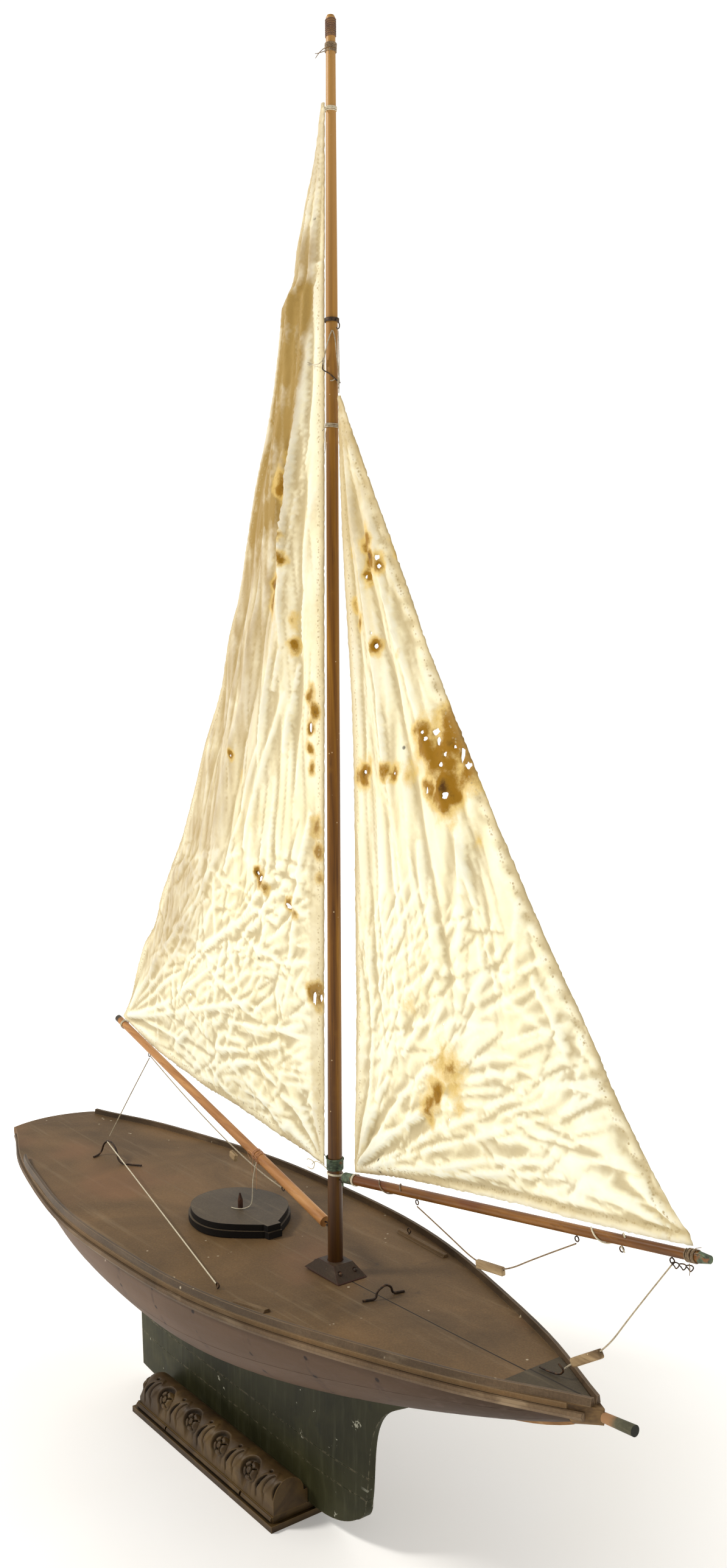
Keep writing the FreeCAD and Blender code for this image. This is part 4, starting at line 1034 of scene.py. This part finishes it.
JIB_STAINS = [(205, 566, 36, 0.95), (160, 556, 24, 0.85), (180, 540, 26, 0.8), (215, 545, 30, 0.9),
              (236, 528, 18, 0.6), (190, 512, 22, 1.0), (168, 515, 13, 0.8), (60, 522, 16, 0.95),
              (48, 520, 11, 0.7), (100, 527, 12, 0.7), (116, 526, 9, 0.85), (138, 528, 16, 0.5),
              (66, 752, 13, 0.85), (72, 733, 11, 0.9), (108, 752, 12, 0.8), (112, 740, 9, 0.9),
              (88, 727, 13, 0.8), (68, 716, 9, 0.9), (43, 690, 9, 0.7), (52, 672, 9, 0.75),
              (143, 695, 10, 0.95), (136, 702, 8, 0.7), (84, 648, 9, 1.0), (38, 744, 7, 0.6),
              (206, 258, 28, 0.55), (178, 222, 18, 0.75), (190, 235, 13, 0.8), (220, 228, 13, 0.5),
              (141, 312, 14, 0.4), (230, 470, 9, 0.5), (118, 640, 8, 0.4), (210, 262, 10, 0.7)]


def cut(after, fore, foot, fray, holes, seed):
    """Flat cloth between two edges, over a foot: random source, points, faces, chord share, belly, rim gap."""
    rng = np.random.default_rng(seed + 1)
    outline = sail_outline(after, fore, foot, fray, seed)
    flat, faces = woven_net(outline, [hole_outline(*h, rng) for h in holes], CLOTH_SPACING, seed + 2)
    near = rounded(after, flat[:, 1])
    chord = np.maximum(np.abs(rounded(fore, flat[:, 1]) - near), 1.0)
    share = np.clip(np.abs(flat[:, 0] - near) / chord, 0, 1)
    return rng, flat, faces, share, CAMBER * chord * 4 * share * (1 - share), edge_distance(flat, outline)


def main_sail():
    rng, flat, faces, share, belly, edge = cut(MAIN_LUFF, MAIN_LEECH, MAIN_FOOT, 0.35, MAIN_HOLES, 40)
    x, z = flat.T
    free = np.clip(x / 40, 0.25, 1) * np.clip(edge / 14, 0.35, 1)
    foot, head = MAIN_LUFF[0][0], MAIN_LUFF[-1][0]
    out = -belly * fade(z - rounded(MAIN_FOOT, x), 0, 130, 0.02)
    out -= 9 * np.sin(math.pi * fade(z, foot, head - foot)) * share
    places = ((0.20, 0.05, 5.0), (0.38, 0.05, -5.0), (0.55, 0.04, 5.0), (0.70, 0.06, -5.0), (0.86, 0.04, 4.0))
    out += fade(z, 330, 260) * fade(z, 1180, -200, 0.15) * hanging(z, share, places, (140, 9))
    out += free * 3.6 * ripple(flat, 28, 210, shift=3.1) * fade(z, 260, 200, 0.2)
    out += free * 4.0 * ripple(flat, 90, 60, turn=0.9, shift=7.7) * fade(z, 560, -260)
    out -= free * folds(flat, MAIN_PLEATS, 3.2, 4.5)
    out -= free * folds(flat, MAIN_FAN, 3.4, 4.0)
    crushed = fade(z, 470, -120) * fade(x, 430, -120, 0.25)
    out -= free * crushed * 1.6 * crumple(flat, 40, 5.3, -0.5, 0.35)
    out += free * 3.0 * gathers(x, z, MAIN_FOOT[-1], -1, 16, 0.7, 190, 40)
    out += free * 3.2 * gathers(x, z, (8, foot), 1, 13, 0, 110, 30)

    def low(r):
        return r.uniform(20, 420), r.uniform(120, 430)

    def tall(r):
        height = r.uniform(380, 1100)
        return r.uniform(0.05, 0.95) * edge_at(MAIN_LEECH, height), height

    def from_clew(a, b):
        return math.pi - math.atan2(b - 120, 560 - a)

    def to_head(a, b):
        return math.atan2(head - b, -a * 0.9)

    out += free * scattered_creases(flat, rng, 330, low, from_clew, 0.55, (22, 110), (0.5, 2.3))
    out += free * scattered_creases(flat, rng, 150, tall, to_head, 0.10, (60, 240), (0.5, 2.0))
    band = rounded(MAIN_BAND, z)
    out -= 3.0 * np.exp(-np.abs(x - band + 3) / 5) * fade(z, 640, 120) * (z < 1040)
    normal = Vector((math.sin(BOOM_SWING), math.cos(BOOM_SWING), 0))
    placed = [at(*(boom_point(a, b) + normal * d)) for a, b, d in zip(x, z, out)]
    # Painted shade on the leech side: khaki beyond the band, brown beyond the shade line, less on the turned
    # hem; tan is added higher up.
    khaki = 1 / (1 + np.exp(-(x - band) / 2.0)) * fade(z, 640, 160) * fade(z, 1090, -70)
    brown = 1 / (1 + np.exp(-(x - rounded(MAIN_SHADE, z)) / (9 + (1000 - z) / 60)))
    brown *= fade(z, 900, -220) * fade(z, 190, 90)
    turned = np.clip(1 - edge / (5 + np.clip((640 - z) / 26, 0, 13)), 0, 1) * (share > 0.5) * (z < 990)
    streak = 0.85 + 0.4 * ripple(flat, 7, 240, shift=4.4)
    age_and_shade = np.maximum(1.25 * khaki, 0.66 * brown) * streak * (1 - 0.85 * np.sqrt(turned))
    age_and_shade += 0.30 * fade(z, 1000, 120) * (share > 0.3) + 0.16 * fade(z, 420, 240)
    maps = {
        "age_and_shade": age_and_shade + 0.06 * ripple(flat, 60, 60, shift=9.2),
        "rust": spots(flat, MAIN_STAINS),
        **relief(faces, out),
        "hem": np.maximum(fade(edge, 9, -9), 0.7 * (x < 25) * (z < 470)),
        "stitch": np.clip(1 - np.abs(edge - 8) / 2.5, 0, 1),
    }
    material = cotton("main_cotton", (180, 150, 84), ((228, 200, 118), (168, 124, 26), (92, 58, 6)))
    add_sail("mainsail_cloth", "mainsail", "main_boom", material, faces, placed, maps)


def jib():
    rng, flat, faces, share, belly, edge = cut(JIB_LEECH, JIB_LUFF, JIB_FOOT, 0.3, JIB_HOLES, 50)
    x, z = flat.T
    free = np.clip(edge / 14, 0.3, 1)
    clew, tack = JIB_LEECH[0][::-1], JIB_FOOT[-1]
    out = -belly * fade(z - rounded(JIB_FOOT, x), 0, 70, 0.12)
    places = ((0.15, 0.05, 5.0), (0.34, 0.05, -6.0), (0.52, 0.05, 6.0), (0.74, 0.05, -4.5))
    out += fade(z, 300, 250) * fade(z, 890, -160, 0.1) * hanging(z, share, places, (120, 7))
    out += free * 3.6 * ripple(flat, 24, 170, shift=13.1) * fade(z, 240, 160, 0.2)
    out += free * 3.2 * ripple(flat, 80, 50, turn=0.5, shift=17.7) * fade(z, 460, -220)
    out -= free * folds(flat, JIB_FAN, 3.2, 4.0)
    out -= free * fade(z, 430, -120) * 1.2 * crumple(flat, 40, 15.3, 0.5, 0.35)
    fold_line = np.abs(z - rounded(JIB_FOOT, x) - 9)
    out += 4.0 * np.exp(-fold_line / 5) * fade(x, 120, 120)
    out += free * 3.8 * gathers(x, z, clew, 1, 15, 0.4, 160, 35)
    out += free * 2.6 * gathers(x, z, tack, -1, 18, 0, 130, 35)

    def low(r):
        height = r.uniform(135, 400)
        return r.uniform(45, edge_at(JIB_LUFF, height) - 15), height

    def tall(r):
        height = r.uniform(350, 860)
        return r.uniform(38, max(edge_at(JIB_LUFF, height), 45)), height

    def from_clew(a, b):
        return math.atan2(b - clew[1], a - 20)

    def to_head(a, b):
        return math.atan2(JIB_LUFF[-1][0] - b, 15 - a)

    out += free * scattered_creases(flat, rng, 280, low, from_clew, 0.42, (22, 100), (0.45, 2.0))
    out += free * scattered_creases(flat, rng, 110, tall, to_head, 0.12, (50, 200), (0.4, 1.7))
    from_luff = np.abs(x - rounded(JIB_LUFF, z))
    seam = np.abs(x - rounded(JIB_SEAM, z))
    out += 1.2 * np.exp(-seam / 2.2) * (z < 330)
    out += 0.7 * np.sin(z / 3.2) * np.clip(1 - np.abs(from_luff - 9) / 9, 0, 1) * (z > 180)
    placed = [at(a, d, b) for a, b, d in zip(x, z, out)]
    # Tan higher up, and painted shade toward the leech.
    age_and_shade = 0.35 * fade(z, 640, 200) + 0.16 * fade(z, 380, 200) + 0.25 * fade(x, 96, -60)
    stitched = np.clip(1 - np.abs(edge - 8) / 2.5, 0, 1)
    maps = {
        "age_and_shade": age_and_shade + 0.10 * ripple(flat, 70, 70, shift=19.2),
        "rust": spots(flat, JIB_STAINS),
        **relief(faces, out),
        "hem": fade(edge, 10, -10),
        "stitch": np.maximum(stitched, 0.8 * fade(seam, 2, -2) * (z < 330)),
    }
    material = cotton("jib_cotton", (206, 184, 130), ((232, 204, 118), (172, 126, 24), (94, 60, 6)))
    add_sail("jib_cloth", "jib_sail", "jib_rig", material, faces, placed, maps)


# ---------------------------------------------------------------- carved mouldings of the stand
ROLL_R, ROLL_Y, ROLL_Z = 20.0, 36.8, -248.0
ROLL_START, ROLL_END = -341.0, -37.0
ROSETTE_FIRST, ROSETTE_PITCH = -277.0, 63.0
SLOT_SIDE = 12.4


def soft(value, edge, blur):
    """1 below the edge, 0 above it."""
    return 1 / (1 + np.exp(np.clip((value - edge) / blur, -60, 60)))


def carving(x, q):
    """How far the surface stands out, in mm: x along the roll, q round it from the rosettes' line."""
    u = (x - ROSETTE_FIRST + ROSETTE_PITCH / 2) % ROSETTE_PITCH - ROSETTE_PITCH / 2
    r, a = np.hypot(u, q * 0.95), np.arctan2(q, u)
    back = np.clip(0.30 - 1.1 * np.cos(a + 0.25), 0, 1)
    out = -6.0 * back * soft(np.abs(r - 12.8), 1.3 + 1.9 * back, 0.30)
    out += -2.0 * soft(np.abs(r - 12.8), 0.7, 0.3)
    lobes = np.abs(np.cos(2.5 * a + 0.4))
    out += 2.4 * (0.45 + 0.55 * lobes ** 0.6) * soft(r, 9.6, 0.6) * np.clip(r / 3.4, 0.4, 1)
    out += -3.4 * soft(lobes, 0.16, 0.05) * soft(r, 10.2, 0.5) * (r > 3.0)
    out += -3.0 * soft(np.abs(r - 4.2), 0.8, 0.25) + 1.4 * soft(r, 3.2, 0.4)
    v = (x - ROSETTE_FIRST) % ROSETTE_PITCH - ROSETTE_PITCH / 2
    cut = v + 9.0 - 0.62 * q - 0.012 * q * q
    width = 2.5 * np.clip(1 - ((q + 4.0) / 12.0) ** 2, 0, 1)
    out += -5.5 * soft(np.abs(cut) - width, 0.0, 0.25) * (np.abs(q + 4.0) < 12)
    line = v - 0.5 - 0.30 * q - 0.020 * q * q
    out += -2.6 * soft(np.abs(line) - 0.9, 0.0, 0.3) * (q > -17) * (q < 12)
    out += -4.0 * soft(np.hypot(v + 3.2, q + 18.5), 2.0, 0.3)
    out += -3.0 * soft(np.hypot(v + 4.0, q - 13.5), 1.5, 0.3)
    leaf = np.abs(v + 1.0 - 0.46 * q) - 11.0 * np.clip(1 - (q / 18.0) ** 2, 0, 1)
    return out + 1.2 * soft(leaf, 0.0, 0.6) * (np.abs(q) < 18)


def carved_roll(side):
    """Round moulding on a square foot, domed at its after end; side is -1 for starboard and 1 for port."""
    floor = -264.0
    arc = np.linspace(0, math.pi, 110)
    out_foot = [(math.cos(a), math.sin(a)) for a in arc]
    xs = np.linspace(ROLL_START, ROLL_END, 340)
    points = []
    for x in xs:
        dome = math.sqrt(max(ROLL_R ** 2 - max(ROLL_START + ROLL_R - x, 0.0) ** 2, 0.0)) / ROLL_R
        dome = max(dome, 0.06)
        q = (arc - math.radians(33)) * ROLL_R
        worked = fade(np.abs(q), 27, -3) * fade(x, ROLL_START + 5, 4) * fade(x, ROLL_END, -2)
        wear = np.array([noise.noise(Vector((x / 9, b * 2.2, 4.0))) for b in arc])
        depth = np.clip(carving(np.full_like(arc, x), q) * worked + 0.35 * wear - 0.35, -6.5, 1.8)
        radius = ROLL_R + depth - 0.2
        wide = 0.35 + 0.65 * dome if x < ROLL_START + ROLL_R else 1.0
        points.append((x, ROLL_Y + ROLL_R - 0.5 - (1 - wide) * 4, floor))
        points.append((x, ROLL_Y + ROLL_R - 0.5 - (1 - wide) * 4, floor + 5))
        for (c, h), r in zip(out_foot, radius):
            points.append((x, ROLL_Y + r * c * (wide if c > 0 else 1.0), ROLL_Z + r * h * dome))
        points.append((x, SLOT_SIDE, ROLL_Z))
        points.append((x, SLOT_SIDE, floor))
    count = len(points) // len(xs)
    points = [at(x, side * y, z) for x, y, z in points]
    faces = []
    for i in range(len(xs) - 1):
        for j in range(count):
            a, b = i * count + j, i * count + (j + 1) % count
            faces.append((a, a + count, b + count, b))
    faces.append(tuple(range(count)))
    faces.append(tuple(reversed(range((len(xs) - 1) * count, len(xs) * count))))
    if side > 0:
        faces = [tuple(reversed(face)) for face in faces]
    return points, faces


def mouldings():
    for side, word in ((-1, "starboard"), (1, "port")):
        points, faces = carved_roll(side)
        made = add_mesh("carved_roll_" + word, points, faces, STAND, "stand", "stand_wood")
        made.data.set_sharp_from_angle(angle=math.radians(60))
        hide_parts("moulding_" + word)


# ---------------------------------------------------------------- stage, light and camera
CAMERA_YAW, CAMERA_PITCH, CAMERA_ROLL = math.radians(143.15), math.radians(3.30), math.radians(-0.29)
CAMERA_PLACE = (1135.25, -810.86, 590.70)
FLOOR_RADIUS = 14


def floor_finish():
    f = Finish("floor_paint", 0.6, specular=0.15)
    f.ramp(f.noise(0.5, detail=3.0), (0.35, (248, 246, 242)), (0.7, (251, 250, 248)))
    reach = f.node("ShaderNodeVectorMath", {0: f.place}, operation="LENGTH").outputs["Value"]
    glow = f.plus(f.times(f.step(reach, 0.30, 0.95), 0.45), 0.22)
    f.feed(f.shader.inputs["Emission Color"], f.base)
    f.feed(f.shader.inputs["Emission Strength"], glow)
    f.bump(f.noise(0.02, detail=5.0), 0.0006, 0.2)
    return f.done()


def backdrop():
    """A studio room: bright white behind the boat, soft grey all round."""
    world = bpy.data.worlds.new("studio")
    world.use_nodes = True
    tree = world.node_tree
    place = tree.nodes.new("ShaderNodeTexCoord").outputs["Generated"]
    dot = tree.nodes.new("ShaderNodeVectorMath")
    dot.operation = "DOT_PRODUCT"
    dot.inputs[1].default_value = (math.cos(CAMERA_YAW), math.sin(CAMERA_YAW), 0.1)
    tree.links.new(place, dot.inputs[0])
    glow = tree.nodes.new("ShaderNodeMapRange")
    glow.interpolation_type = "SMOOTHSTEP"
    for key, value in (("From Min", 0.40), ("From Max", 0.72), ("To Min", 0.42), ("To Max", 1.12)):
        glow.inputs[key].default_value = value
    tree.links.new(dot.outputs["Value"], glow.inputs["Value"])
    tree.nodes["Background"].inputs["Color"].default_value = (1.0, 0.985, 0.955, 1.0)
    tree.links.new(glow.outputs[0], tree.nodes["Background"].inputs["Strength"])
    bpy.context.scene.world = world


def stage():
    turns = np.linspace(0, 2 * math.pi, 64, endpoint=False)
    rim = [(FLOOR_RADIUS * math.cos(a), FLOOR_RADIUS * math.sin(a), 0) for a in turns]
    data = bpy.data.meshes.new("floor")
    data.from_pydata(rim, [], [tuple(range(64))])
    add_object("floor", data, floor_finish())
    backdrop()
    bpy.context.scene.view_settings.view_transform = "Standard"


def area_light(name, place, aim, size, power, colour):
    data = bpy.data.lights.new(name, "AREA")
    data.shape, data.size, data.energy, data.color = "DISK", size, power, colour
    light = bpy.data.objects.new(name, data)
    light.location = place
    light.rotation_euler = (Vector(aim) - Vector(place)).to_track_quat("-Z", "Y").to_euler()
    bpy.context.scene.collection.objects.link(light)


def lights():
    middle = (0, 0, 0.5)
    area_light("window", (-1.5, -2.3, 2.9), middle, 0.8, 96.0, (1.0, 0.98, 0.94))
    area_light("fill", (2.6, 1.2, 2.4), middle, 2.0, 18.0, (1.0, 0.98, 0.95))


def camera():
    yaw, pitch, roll = CAMERA_YAW, CAMERA_PITCH, CAMERA_ROLL
    ahead = Vector((math.cos(yaw) * math.cos(pitch), math.sin(yaw) * math.cos(pitch), -math.sin(pitch)))
    level = Vector((math.sin(yaw), -math.cos(yaw), 0))
    up = level.cross(ahead)
    right = level * math.cos(roll) + up * math.sin(roll)
    up = up * math.cos(roll) - level * math.sin(roll)
    turn = Matrix((right, up, -ahead)).transposed()
    data = bpy.data.cameras.new("camera")
    data.sensor_width = 36.0
    data.lens = 31.26
    made = bpy.data.objects.new("camera", data)
    made.matrix_world = Matrix.Translation(at(*CAMERA_PLACE)) @ turn.to_4x4()
    bpy.context.scene.collection.objects.link(made)
    bpy.context.scene.camera = made


camera()
stage()
lights()
finish_cad_nodes()
all_cords()
mast_windings()
boom_windings()
club_windings()
main_sail()
jib()
mouldings()
